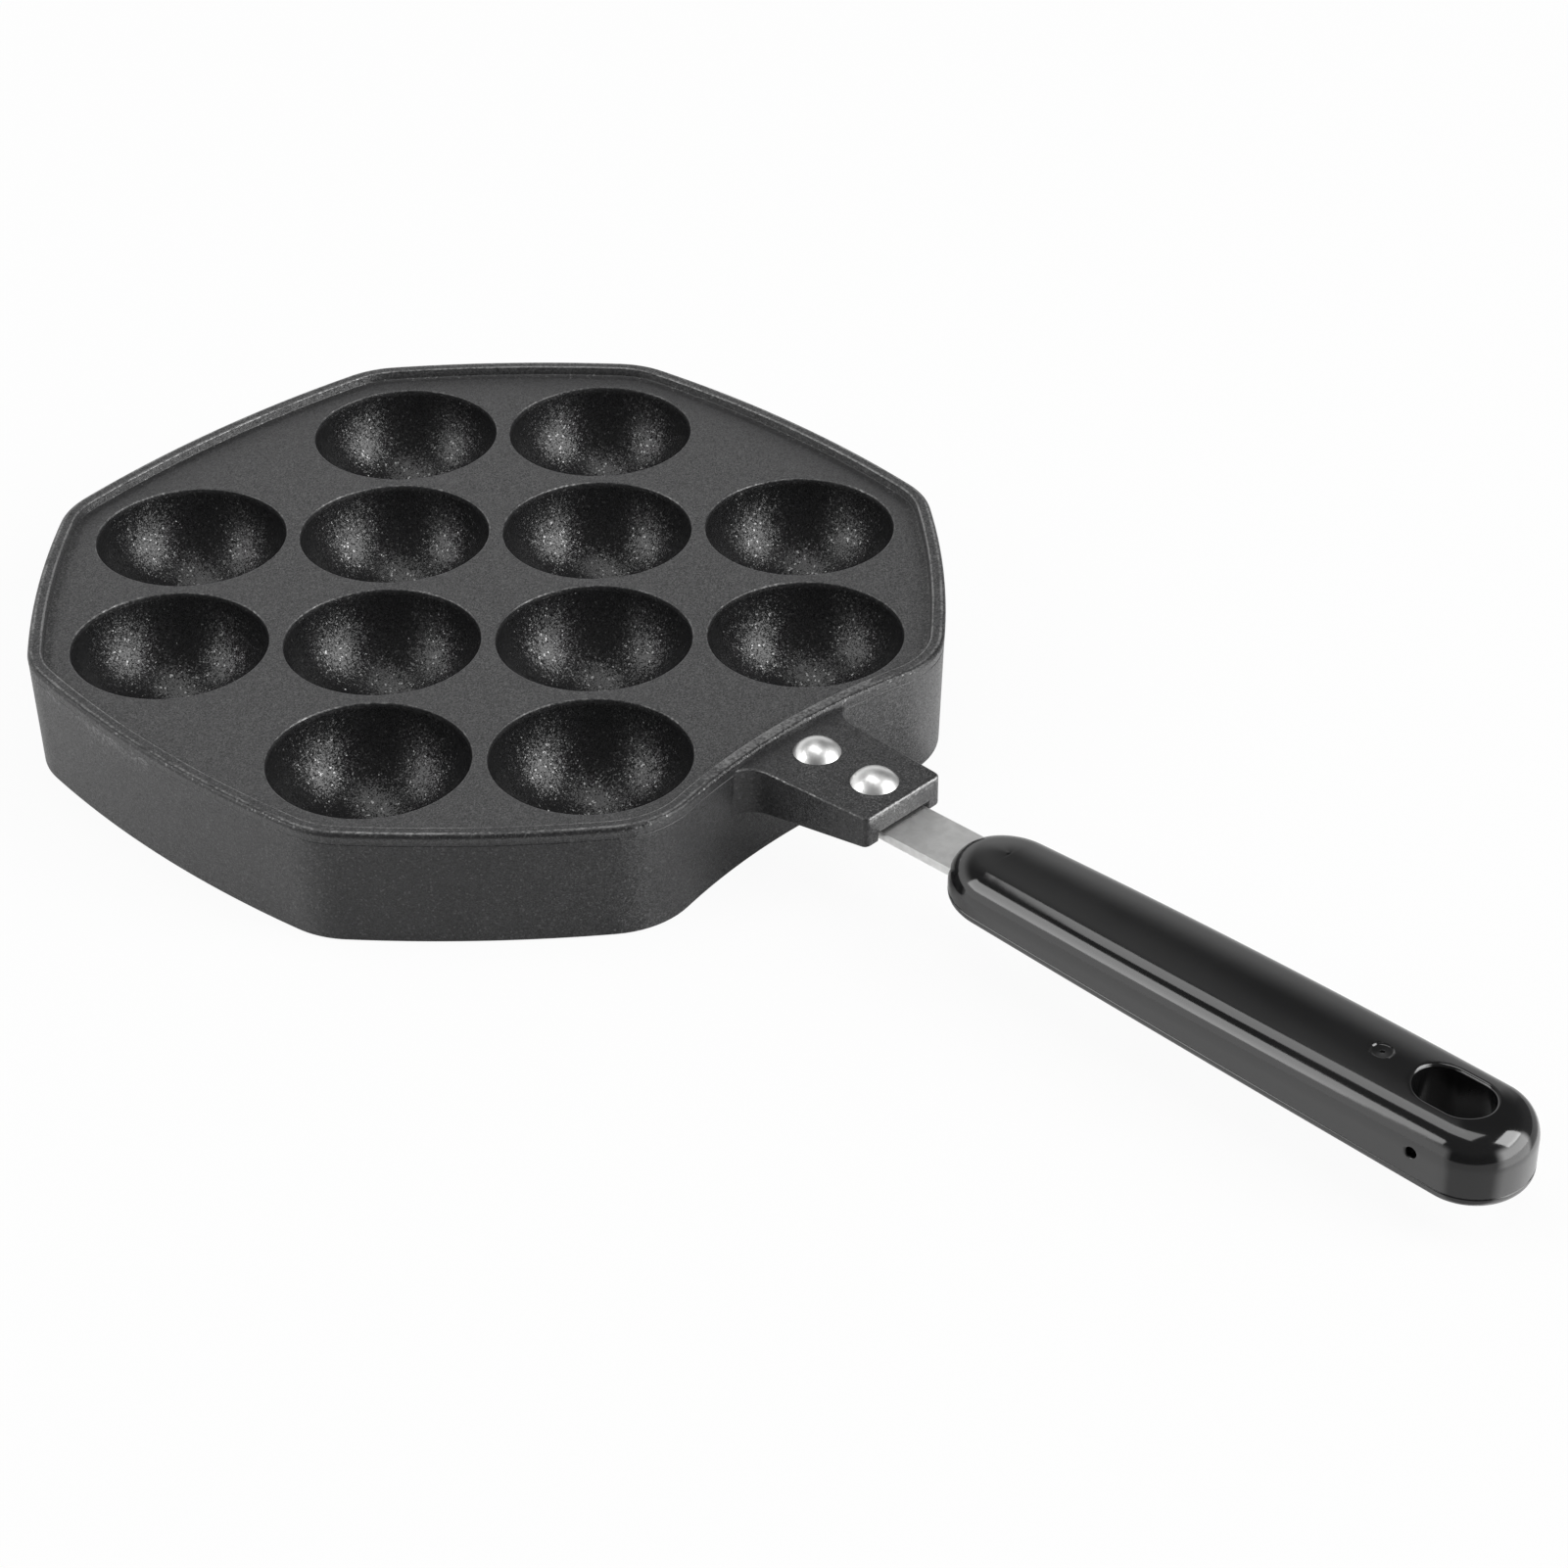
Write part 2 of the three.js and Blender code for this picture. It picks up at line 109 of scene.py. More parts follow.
def between(tree, value, low, high, start=0.0, end=1.0):
    """A value carried from the range low to high over to the range start to end, smoothly."""
    return add_node(tree, "ShaderNodeMapRange", {
        "Value": value, "From Min": low, "From Max": high, "To Min": start, "To Max": end,
    }, interpolation_type="SMOOTHSTEP").outputs["Result"]


# %% [markdown]
# ## The studio
# The photo is taken on white. The floor is a white sheet, and Light Path lets the camera see most of it
# as plain white, so only a soft trace of the shadow is left. The world is the rest of the room. Round the
# horizon it has white paper at the far side and on the left, and it is dark behind the photographer and
# overhead. Those dark parts are what makes a glossy black handle look black. The grip's own reflections
# tell where the paper ends. Mirror rays see half of that room through the floor, as on a glass table, but
# not close to the lug or below the hanging hole, where the floor lies in shadow.

# %% Room round the object
def room_ring(tree, turn, stops):
    """Brightness round the horizon: stops are degrees from the X axis, anticlockwise, with a grey each."""
    ramp = add_node(tree, "ShaderNodeValToRGB", {"Fac": turn})
    marks = ramp.color_ramp.elements
    while len(marks) < len(stops):
        marks.new(0.5)
    for mark, (degrees, grey) in zip(marks, stops):
        mark.position = 0.5 + degrees / 360
    for mark, (degrees, grey) in zip(marks, stops):
        mark.color = (grey, grey, grey, 1)
    return ramp.outputs["Color"]


# Sines of the elevations between which one ring of the room gives way to the next
low_ends = (-0.44, -0.32)
paper_ends = (0.31, 0.62)
ceiling = [(-180, 0.12), (120, 0.09), (127, 0.13), (133, 0.25), (141, 0.34), (158, 0.22), (180, 0.12)]
at_horizon = [
    (-180, 0.8), (-140, 1.1), (-100, 1.1), (-86, 0.06), (-8, 0.06), (5, 3.6), (50, 3.6), (57, 0.15),
    (98, 0.15), (112, 0.62), (135, 0.72), (180, 0.8),
]
below_horizon = [
    (-180, 0.8), (-140, 1.1), (-100, 1.1), (-86, 0.2), (-8, 0.2), (12, 2.3), (60, 2.3), (100, 1.2),
    (135, 0.8), (180, 0.8),
]

world = bpy.data.worlds.new("studio")
world.use_nodes = True
bpy.context.scene.world = world
tree = world.node_tree
tree.nodes.clear()
direction = add_node(tree, "ShaderNodeTexCoord").outputs["Generated"]
parts = add_node(tree, "ShaderNodeSeparateXYZ", {0: direction}).outputs
turn = maths(tree, "ARCTAN2", parts["Y"], parts["X"])
turn = maths(tree, "ADD", maths(tree, "DIVIDE", turn, 2 * math.pi), 0.5)
side_on = blend(
    tree, between(tree, parts["Z"], low_ends[0], low_ends[1]),
    room_ring(tree, turn, below_horizon), room_ring(tree, turn, at_horizon))
overhead = between(tree, parts["Z"], paper_ends[0], paper_ends[1])
room = blend(tree, overhead, side_on, room_ring(tree, turn, ceiling))
seen = add_node(tree, "ShaderNodeLightPath").outputs["Is Camera Ray"]
shade = blend(tree, seen, room, (1, 1, 1, 1))
light = add_node(tree, "ShaderNodeBackground", {"Color": shade, "Strength": 1.0})
add_node(tree, "ShaderNodeOutputWorld", {"Surface": light.outputs[0]})
print("room of", len(at_horizon), "stops round the horizon")

# %% Floor
plain_to_camera = 0.94  # how much of the floor the camera sees as plain white
open_to_mirror = 0.5  # how much of the room a mirror ray sees through it
by_the_lug, below_hole = (0.012, 0, 0), (0.162, 0, 0)

sheet = bpy.data.materials.new("white_sheet")
sheet.use_nodes = True
tree = sheet.node_tree
tree.nodes.clear()
paper_white = add_node(tree, "ShaderNodeBsdfDiffuse", {"Color": (0.93, 0.93, 0.93, 1)}).outputs[0]
plain_white = add_node(tree, "ShaderNodeEmission", {"Color": (1, 1, 1, 1), "Strength": 1.0}).outputs[0]
see_through = add_node(tree, "ShaderNodeBsdfTransparent").outputs[0]
path = add_node(tree, "ShaderNodeLightPath")
by_camera = maths(tree, "MULTIPLY", path.outputs["Is Camera Ray"], plain_to_camera)
floor_spot = add_node(tree, "ShaderNodeTexCoord").outputs["Object"]


def away_from(shaded_spot, near, far):
    """0 within the near distance of a spot on the floor, 1 beyond the far one."""
    distance = add_node(tree, "ShaderNodeVectorMath", {0: floor_spot, 1: shaded_spot}, operation="DISTANCE")
    return between(tree, distance.outputs["Value"], near, far)


clear_of_lug = away_from(by_the_lug, near=0.034, far=0.05)
clear_of_hole = away_from(below_hole, near=0.011, far=0.018)
open_floor = maths(tree, "MULTIPLY", maths(tree, "MULTIPLY", clear_of_lug, clear_of_hole), open_to_mirror)
by_mirror = maths(tree, "MULTIPLY", path.outputs["Is Glossy Ray"], open_floor)
table = add_node(tree, "ShaderNodeMixShader", {0: by_mirror, 1: paper_white, 2: see_through}).outputs[0]
mixed = add_node(tree, "ShaderNodeMixShader", {0: by_camera, 1: table, 2: plain_white})
add_node(tree, "ShaderNodeOutputMaterial", {"Surface": mixed.outputs[0]})

bpy.ops.mesh.primitive_plane_add(size=8, location=(0, 0, -0.0001))
floor = bpy.context.object
floor.name = "floor"
floor.data.materials.append(sheet)
print("floor and world ready")

# %% [markdown]
# ## The lamps
# The round cups act as small mirrors, so their two bright patches tell where the lamps stand: a brighter
# one on the right and one on the left. A long weak lamp overhead makes the thin light strip along the
# grip's shoulder and the dot on each rivet. An area lamp is a glowing rectangle. Its power for a wanted
# brightness is pi times its area times that brightness.

# %% Lamps
lamp_distance = 2.2


def studio_lamp(name, toward, wide, tall, brightness):
    lamp = bpy.data.lights.new(name, "AREA")
    lamp.shape = "RECTANGLE"
    lamp.size, lamp.size_y = wide, tall
    lamp.energy = math.pi * wide * tall * brightness
    placed = bpy.data.objects.new(name, lamp)
    away = Vector(toward).normalized()
    placed.location = away * lamp_distance
    placed.rotation_euler = away.to_track_quat("Z", "Y").to_euler()
    bpy.context.scene.collection.objects.link(placed)
    print(name, "at", [round(v, 2) for v in placed.location], "metres")


studio_lamp("right_lamp", (0.66, 0.42, 0.62), wide=1.15, tall=1.05, brightness=5.0)
studio_lamp("left_lamp", (-0.51, -0.62, 0.55), wide=1.3, tall=0.98, brightness=2.6)
studio_lamp("overhead_lamp", (-0.125, -0.01, 1.0), wide=1.1, tall=1.96, brightness=1.85)

# %% [markdown]
# ## Sizes of the pan
# The same named sizes as in the part's source, in millimetres, with the pan's centre at x = 0. Working
# in millimetres keeps the numbers readable and the Booleans exact. Each finished mesh is scaled to
# metres and moved to its place in the frame.

# %% Sizes
cup_pitch, cup_radius, cup_depth, cup_wall = 44, 20.5, 19, 3
corner_radius, rim_height, rim_width, rim_slope = 20, 2.1, 2.9, 0.4
wall_draft, edge_break, plate_thickness = 0.9, 0.5, 3.4
skirt_thickness, skirt_taper = 3, 1.6
flat_bow, diagonal_bow, hollow_bow = 256, 264, 152
strap_half_width, strap_thickness, strap_gap = 6.2, 1.8, 0.3
shank_radius, rivet_hole_radius = 2.4, 2.7
pan_height = 26
plate_top = pan_height - rim_height
grid_step = cup_pitch * math.sqrt(0.5)
flat_reach = 1.5 * cup_pitch + cup_radius + 9.6
diagonal_reach = 2 * grid_step + cup_radius + 10
handle_side_reach = diagonal_reach - 6
pan_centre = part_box("pan_body")[0].x * 1000 + diagonal_reach
print("pan centre at x =", round(pan_centre, 2), "mm")

# %% [markdown]
# ## Mesh helpers
# A cast or moulded shape is a skin through rings of points, so one helper joins rings to quads. Another
# rounds the corners of a drawn section, because no real edge is sharp. Holes and hollows are cut with
# Boolean modifiers, and the result is read back as a plain mesh.

# %% Mesh helpers
def rounded(corners, steps=5):
    """A line through (x, y, radius) corners, with an arc at each corner that has a radius."""
    points = []
    for i, (x, y, radius) in enumerate(corners):
        if not radius:
            points.append((x, y))
            continue
        here = complex(x, y)
        before = complex(*corners[i - 1][:2]) - here
        after = complex(*corners[i + 1][:2]) - here
        before, after = before / abs(before), after / abs(after)
        half = abs(cmath.phase(after / before)) / 2
        middle = here + (before + after) / abs(before + after) * radius / math.sin(half)
        start = here + before * radius / math.tan(half) - middle
        sweep = cmath.phase((here + after * radius / math.tan(half) - middle) / start)
        for k in range(steps + 1):
            point = middle + start * cmath.rect(1, sweep * k / steps)
            points.append((point.real, point.imag))
    return points


def mesh_object(name, points, faces):
    mesh = bpy.data.meshes.new(name)
    mesh.from_pydata([tuple(p) for p in points], [], faces)
    made = bpy.data.objects.new(name, mesh)
    bpy.context.scene.collection.objects.link(made)
    return made


def ring_quads(first, count, rings):
    """Quads between rings of count points, the lowest of which starts at point first."""
    quads = []
    for r in range(rings - 1):
        for i in range(count):
            a, b = first + r * count + i, first + r * count + (i + 1) % count
            quads.append((a, b, b + count, a + count))
    return quads


def skin(name, rings):
    """Closed skin through rings of equal count that run anticlockwise, lowest ring first."""
    count = len(rings[0])
    points = [p for ring in rings for p in ring]
    faces = ring_quads(0, count, len(rings))
    faces.append(tuple(reversed(range(count))))
    faces.append(tuple(range(len(points) - count, len(points))))
    return mesh_object(name, points, faces)


def turned(name, profile, x=0.0, y=0.0, count=96):
    """A closed body turned about a vertical axis: the profile runs from its lowest to its highest point."""
    points = [(x, y, profile[0][1]), (x, y, profile[-1][1])]
    faces = []
    inner = profile[1:-1]
    for radius, height in inner:
        for i in range(count):
            angle = 2 * math.pi * i / count
            points.append((x + radius * math.cos(angle), y + radius * math.sin(angle), height))
    for i in range(count):
        j = (i + 1) % count
        faces.append((0, 2 + j, 2 + i))
        last = 2 + (len(inner) - 1) * count
        faces.append((1, last + i, last + j))
        for r in range(len(inner) - 1):
            a, b = 2 + r * count + i, 2 + r * count + j
            faces.append((a, b, b + count, a + count))
    return mesh_object(name, points, faces)


def cut(body, tool, operation="DIFFERENCE"):
    """Cuts the tool out of the body, or joins it on, and removes the tool."""
    modifier = body.modifiers.new(operation.lower(), "BOOLEAN")
    modifier.operation = operation
    modifier.solver = "MANIFOLD"
    modifier.object = tool
    shape_now(body)
    bpy.data.objects.remove(tool)
    return body


def shape_now(body):
    """Turns the modifiers of a body into plain mesh."""
    bpy.context.view_layer.update()
    seen_shape = body.evaluated_get(bpy.context.evaluated_depsgraph_get())
    made = bpy.data.meshes.new_from_object(seen_shape)
    body.modifiers.clear()
    body.data = made


# %% [markdown]
# ## The pan's outline
# Seen from above, the pan has eight bowed sides with rounded corners. The side that carries the handle
# is hollow instead. Complex numbers make the plane geometry short: a corner's centre is where two
# circles meet, one corner radius inside the two sides. Each point keeps its outward direction, so any
# ring of the wall is the outline moved in by a distance.

# %% Outline
def pan_outline(side_steps=40, corner_steps=10):
    sides = []
    for i in range(8):
        reach, bow = (flat_reach, flat_bow) if i % 2 else (diagonal_reach, diagonal_bow)
        if i == 0:
            reach, bow = handle_side_reach, -hollow_bow
        sides.append((cmath.rect(reach - bow, i * math.pi / 4), bow))
    corners = []
    for i, (centre, bow) in enumerate(sides):
        other, other_bow = sides[(i + 1) % 8]
        span, near, far = abs(other - centre), abs(bow - corner_radius), abs(other_bow - corner_radius)
        along = (near ** 2 - far ** 2 + span ** 2) / (2 * span)
        off = math.sqrt(near ** 2 - along ** 2)
        unit = (other - centre) / span
        facing = cmath.rect(1, (i + 0.5) * math.pi / 4)
        found = [centre + unit * complex(along, off), centre + unit * complex(along, -off)]
        corners.append(max(found, key=lambda c: (c * facing.conjugate()).real))
    points, outward = [], []
    for i, (centre, bow) in enumerate(sides):
        start = cmath.phase(corners[i - 1] - centre)
        sweep = cmath.phase((corners[i] - centre) / (corners[i - 1] - centre))
        for k in range(side_steps + 1):
            spoke = cmath.rect(1, start + sweep * k / side_steps)
            points.append(centre + spoke * abs(bow))
            outward.append(spoke * (1 if bow > 0 else -1))
        other, other_bow = sides[(i + 1) % 8]
        ending = (corners[i] - other) * (1 if other_bow > 0 else -1)
        sweep = cmath.phase(ending / outward[-1])
        first = outward[-1]
        for k in range(1, corner_steps):
            spoke = first * cmath.rect(1, sweep * k / corner_steps)
            points.append(corners[i] + spoke * corner_radius)
            outward.append(spoke)
    return np.array(points), np.array(outward)


outline_points, outline_outward = pan_outline()


def pan_ring(inset, height):
    moved = outline_points - outline_outward * inset
    return [(p.real, p.imag, height) for p in moved]


print("outline of", len(outline_points), "points,", round(np.ptp(outline_points.imag), 2), "mm wide")

# %% [markdown]
# ## The casting's top side
# The wall, the rim and the tray are one section carried round the outline: up the drafted wall, over the
# rounded rim and down to the plate. The plate is filled with triangles between that last ring and twelve
# cup mouths. Each cup is a ball-shaped bowl whose lip rolls over into the plate. Building this side
# directly, rather than cutting it, gives every edge the small radius that a casting has.

# %% Wall, rim and tray
foot_end, foot_curve = 5.4, 5.8  # the tray rises in a shallow curve to the rim
# Each corner is its inset from the outline, its height and its radius
wall_section = rounded([
    (wall_draft + edge_break + 0.4, 0, 0),
    (wall_draft, 0, 0.45),
    (0.16, 23.25, 0),  # from here a fine groove runs below the rim
    (0.25, 23.36, 0),
    (0.25, 23.5, 0),
    (0.13, 23.6, 0),
    (0.08, 24.6, 0),
    (0, pan_height, 1.0),
    (1.25, pan_height, 0),
    (1.6, pan_height, 0),
    (2.0, pan_height, 0),
    (rim_width, pan_height, 0.3),
    (rim_width + 0.12, pan_height - 0.63, 0),
    (rim_width + rim_slope + 0.05, plate_top + 0.36, 0.3),
] + [
    (foot_end - run, plate_top + run ** 2 / (2 * foot_curve), 0) for run in (1.65, 1.3, 0.95, 0.6, 0.25, 0)
])
top_rings = [pan_ring(inset, height) for inset, height in wall_section]
print("wall section of", len(wall_section), "points")

# %% Cup section
bowl_radius = (cup_radius ** 2 + cup_depth ** 2) / (2 * cup_depth)
bowl_centre = plate_top - cup_depth + bowl_radius
lip_round = 0.5
cup_count = 112
lip_middle = math.sqrt((bowl_radius + lip_round) ** 2 - (bowl_centre - plate_top + lip_round) ** 2)
lip_turn = math.atan2(bowl_centre - plate_top + lip_round, lip_middle)
lip_steps, bowl_steps = 6, 30
cup_section = []
for k in range(lip_steps + 1):
    angle = math.pi / 2 + (math.pi / 2 - lip_turn) * k / lip_steps
    height = plate_top - lip_round + lip_round * math.sin(angle)
    cup_section.append((lip_middle + lip_round * math.cos(angle), height))
for k in range(1, bowl_steps):
    angle = -lip_turn - (math.pi / 2 - lip_turn) * k / bowl_steps
    cup_section.append((bowl_radius * math.cos(angle), bowl_centre + bowl_radius * math.sin(angle)))
cup_places = [
    (grid_step * (column - row), grid_step * (column + row))
    for row in (-1.5, -0.5, 0.5, 1.5) for column in (-1.5, -0.5, 0.5, 1.5)
    if abs(row) < 1.5 or abs(column) < 1.5
]
print(len(cup_places), "cups, mouths of", round(2 * lip_middle, 1), "mm with the lip")

# %% Casting, top side and wall
count = len(outline_points)
points = [p for ring in top_rings for p in ring]
faces = [tuple(reversed(range(count)))]
faces += ring_quads(0, count, len(top_rings))
plate_loops = [list(range(len(points) - count, len(points)))]
for cup_x, cup_y in cup_places:
    first = len(points)
    for radius, height in cup_section:
        for i in range(cup_count):
            angle = 2 * math.pi * i / cup_count
            points.append((cup_x + radius * math.cos(angle), cup_y + radius * math.sin(angle), height))
    faces += ring_quads(first, cup_count, len(cup_section))
    points.append((cup_x, cup_y, plate_top - cup_depth))
    last = first + (len(cup_section) - 1) * cup_count
    faces += [(last + i, last + (i + 1) % cup_count, len(points) - 1) for i in range(cup_count)]
    plate_loops.append(list(range(first, first + cup_count)))

# %% Plate between the cups
flat = [index for loop in plate_loops for index in loop]
place = {index: k for k, index in enumerate(flat)}
edges = [(place[loop[k - 1]], place[loop[k]]) for loop in plate_loops for k in range(len(loop))]
filled = delaunay_2d_cdt([Vector(points[index][:2]) for index in flat], edges, [], 2, 1e-6)
plate_faces, plate_from = filled[2], filled[3]
source = [flat[came[0]] for came in plate_from]
loop_of = {index: k for k, loop in enumerate(plate_loops) for index in loop}
for face in plate_faces:
    touched = {loop_of[source[k]] for k in face}
    if len(touched) > 1 or touched == {0}:
        faces.append(tuple(source[k] for k in face))
casting = mesh_object("casting", points, faces)
print("casting's top side:", len(points), "points,", len(faces), "faces")

# %% [markdown]
# ## The casting's underside
# A cast pan is hollow below: the skirt is a thin wall, and the cups hang down as round bumps. The hollow
# is made as a body of its own, with the bumps taken out of it, and then cut from the casting. A bump
# meets the roof in a rounded hollow, as cast metal does.

# %% Underside
roof = plate_top - plate_thickness
skirt_inset = wall_draft + skirt_thickness
hollow_section = rounded([
    (skirt_inset - 0.5, -2, 0),
    (skirt_inset - 0.5, 0, 0),
    (skirt_inset, 0.6, 0.4),
    (skirt_inset + skirt_taper, roof, 1.4),
    (skirt_inset + skirt_taper + 3, roof, 0),
])
hollow = skin("hollow", [pan_ring(inset, height) for inset, height in hollow_section])
bump_radius = bowl_radius + cup_wall
foot_round = 2.2
bump_top = roof + 0.03  # a hair above the roof, so that the cut between the two is clean
foot_height = bowl_centre - (bump_top - foot_round)
foot_centre = math.sqrt((bump_radius + foot_round) ** 2 - foot_height ** 2)
foot_turn = math.atan2(foot_height, foot_centre)
bump_section = [(0, bowl_centre - bump_radius)]
for k in range(1, 25):
    angle = -math.pi / 2 + (math.pi / 2 - foot_turn) * k / 24
    bump_section.append((bump_radius * math.cos(angle), bowl_centre + bump_radius * math.sin(angle)))
for k in range(1, 7):
    angle = math.pi - foot_turn - (math.pi / 2 - foot_turn) * k / 6
    height = bump_top - foot_round + foot_round * math.sin(angle)
    bump_section.append((foot_centre + foot_round * math.cos(angle), height))
bump_section += [(foot_centre, roof + 1.5), (0, roof + 1.5)]
for cup_x, cup_y in cup_places:
    cut(hollow, turned("bump", bump_section, cup_x, cup_y, count=80))
print("hollow of", len(hollow.data.polygons), "faces")
cut(casting, hollow)
print("casting after the hollow:", len(casting.data.polygons), "faces")

# %% [markdown]
# ## The lug
# A short tongue is cast on to the hollow side and flares into the wall. Its underside slopes up towards
# the end. A Bevel modifier rounds its edges before it joins the casting. A groove below takes the steel
# strap, and two holes take the rivets.

# %% Lug
lug_end = handle_side_reach + 31.1
lug_top = pan_height - 1.7
channel_roof = lug_top - 5
channel_half = strap_half_width + 1.2
lug_half_end = channel_half + 3.5
lug_half_root = lug_half_end + 1.3
lug_depth_root, lug_depth_end = 11.1, 6.7
flare = 7
rivet_places = [handle_side_reach + setback for setback in (7.9, 23.3)]


def curve_to(start, bend, end, steps=16):
    spots = []
    for k in range(steps + 1):
        t = k / steps
        of_start, of_bend, of_end = (1 - t) ** 2, 2 * t * (1 - t), t * t
        spots.append(tuple(of_start * s + of_bend * b + of_end * e for s, b, e in zip(start, bend, end)))
    return spots


in_wall = handle_side_reach - skirt_thickness / 2
flare_y = lug_half_root + flare
at_flare = handle_side_reach - wall_draft + hollow_bow - math.sqrt(hollow_bow ** 2 - flare_y ** 2)
end_round = 1.6
lower_half = [(in_wall, -flare_y)]
lower_half += curve_to((at_flare, -flare_y), (at_flare, -lug_half_root), (at_flare + flare, -lug_half_root))
lower_half += curve_to(
    (lug_end - end_round, -lug_half_end), (lug_end, -lug_half_end),
    (lug_end, -lug_half_end + end_round), steps=6)
lug_plan = lower_half + [(x, -y) for x, y in reversed(lower_half)]


def lug_bottom(x):
    share = (x - in_wall) / (lug_end + 2 - in_wall)
    return lug_top - lug_depth_root * (1 - share) - lug_depth_end * share


def round_edges(body, width, segments):
    bevel = body.modifiers.new("rounded edges", "BEVEL")
    bevel.width = width
    bevel.segments = segments
    bevel.limit_method = "ANGLE"
    bevel.angle_limit = math.radians(50)
    shape_now(body)


lug = skin("lug", [[(x, y, lug_bottom(x)) for x, y in lug_plan], [(x, y, lug_top) for x, y in lug_plan]])
round_edges(lug, width=0.6, segments=4)
cut(casting, lug, "UNION")
print("lug reaches x =", round(lug_end, 1), "mm")

# %% Groove and rivet holes
groove_start = handle_side_reach + 1.3
dark_gap = 0.35  # the groove is this much higher than in the CAD model, so that its shade shows
groove_plan = [
    (groove_start, -channel_half), (lug_end + 2, -channel_half),
    (lug_end + 2, channel_half), (groove_start, channel_half),
]
groove = skin("groove", [[(x, y, z) for x, y in groove_plan] for z in (-1, channel_roof + dark_gap)])
cut(casting, groove)


def peg(radius, x, low=10):
    """An upright round peg, taller than the pieces that it is cut from."""
    return turned("peg", [(0, low), (radius, low), (radius, 26), (0, 26)], x, count=48)


for x in rivet_places:
    cut(casting, peg(rivet_hole_radius, x, low=15))
print("casting with lug:", len(casting.data.polygons), "faces")

# %% [markdown]
# ## Where the coat is worn
# The dark coat is thin on edges, and the metal shows through as a broken light line. A number per point
# of the mesh says how near it is to such an edge. The material reads it and breaks it up with noise.

# %% Worn edges
handle_zone = 24  # half the width of what counts as close to the handle


def by_the_handle(p):
    return p[0] > handle_side_reach - 9 and abs(p[1]) < handle_zone


def rim_lines():
    """Spots along the rim, each with the strength of the wear there."""
    lines = [(p, 0.84) for p in pan_ring(0.95, pan_height)]
    lines += [(p, 0.88) for p in pan_ring(rim_width - 0.1, pan_height - 0.05)]
    lines += [(p, 0.74 if p[0] < 0 and p[1] < -40 else 0.52) for p in pan_ring(0.2, 23.4)]
    for inset in (1.3, 1.7, 2.1):
        lines += [(p, 0.82) for p in pan_ring(inset, pan_height) if by_the_handle(p)]
    return lines


def cup_lines(count=260):
    lines = []
    reach = lip_middle - 0.35
    for cup_x, cup_y in cup_places:
        for k in range(count):
            angle = 2 * math.pi * k / count
            spot = (cup_x + reach * math.cos(angle), cup_y + reach * math.sin(angle), plate_top - 0.13)
            lines.append((spot, 0.74))
    return lines


def lug_lines(spacing=0.5):
    lines = []
    for (x, y), (next_x, next_y) in zip(lug_plan[1:], lug_plan[2:-1]):
        pieces = max(1, int(math.hypot(next_x - x, next_y - y) / spacing))
        for k in range(pieces):
            t = k / pieces
            lines.append(((x + (next_x - x) * t, y + (next_y - y) * t, lug_top - 0.12), 0.8))
    # Lines across the end face: how far each lies below the top, and its strength
    end_face = ((0.2, 1.15), (0.6, 0.84), (1.2, 0.86), (2.2, 0.76), (3.2, 0.74), (4.2, 0.74))
    for k in range(45):
        y = lug_half_end * (k / 22 - 1)
        lines += [((lug_end, y, lug_top - drop), strength) for drop, strength in end_face]
    return lines


# %% Wear on the points


def nearness(lines, full, gone):
    """For each point of the casting, the strength of the nearest line, which fades with the distance."""
    finder = KDTree(len(lines))
    for k, (spot, strength) in enumerate(lines):
        finder.insert(spot, k)
    finder.balance()
    values = np.zeros(len(casting.data.vertices), np.float32)
    for vertex in casting.data.vertices:
        spot, k, away = finder.find(vertex.co)
        values[vertex.index] = lines[k][1] * min(1.0, max(0.0, (gone - away) / (gone - full)))
    return values


def add_region(name, values):
    region = casting.data.attributes.new(name, "FLOAT", "POINT")
    region.data.foreach_set("value", values.astype(np.float32))
    print(name, "covers", int((values > 0.1).sum()), "points")


add_region("wear", nearness(rim_lines() + cup_lines() + lug_lines(), full=0.2, gone=0.7))

# %% [markdown]
# ## Cups and tray
# The coat isn't the same all over. In the cups it is smooth and glossier, so the lamps make compact
# patches there, and so it is along the foot of the rim and over its outer edge. These places are also
# painted dark, as painted shade for the hollow cups, the corner at the rim's foot and the rim's outer
# rounding. The flat tray, and in part the top of the rim, is duller and painted a lighter grey, a
# painted sheen for the room that it reflects. Two more numbers per point, each from 0 to 1, say where
# the material has to change.

# %% Smooth coat with painted shade, and tray with painted sheen
spots = np.zeros(len(casting.data.vertices) * 3, np.float32)
casting.data.vertices.foreach_get("co", spots)
spots = spots.reshape(-1, 3)
# Painted shade: over the rim's outer rounding and along the foot of the rim the coat is painted darker,
# where shade falls, and made glossier
outer_edge_painted_shade = nearness([(p, 0.8) for p in pan_ring(0.12, pan_height - 0.4)], full=0.35, gone=0.65)
rim_foot_painted_shade = nearness([(p, 0.65) for p in pan_ring(3.9, plate_top + 0.19)], full=0.6, gone=1.4)
glossy_painted_shade_values = np.maximum(outer_edge_painted_shade, rim_foot_painted_shade)
# Painted shade in each cup as well: the bowl below its lip is painted darker and made glossier
for cup_x, cup_y in cup_places:
    reach = np.hypot(spots[:, 0] - cup_x, spots[:, 1] - cup_y)
    from_centre = np.hypot(reach, spots[:, 2] - bowl_centre)
    inside = (reach < lip_middle) & (from_centre < bowl_radius + 0.8)
    glossy_painted_shade_values[inside] = np.clip((plate_top - 0.3 - spots[inside, 2]) / 0.8, 0, 1)
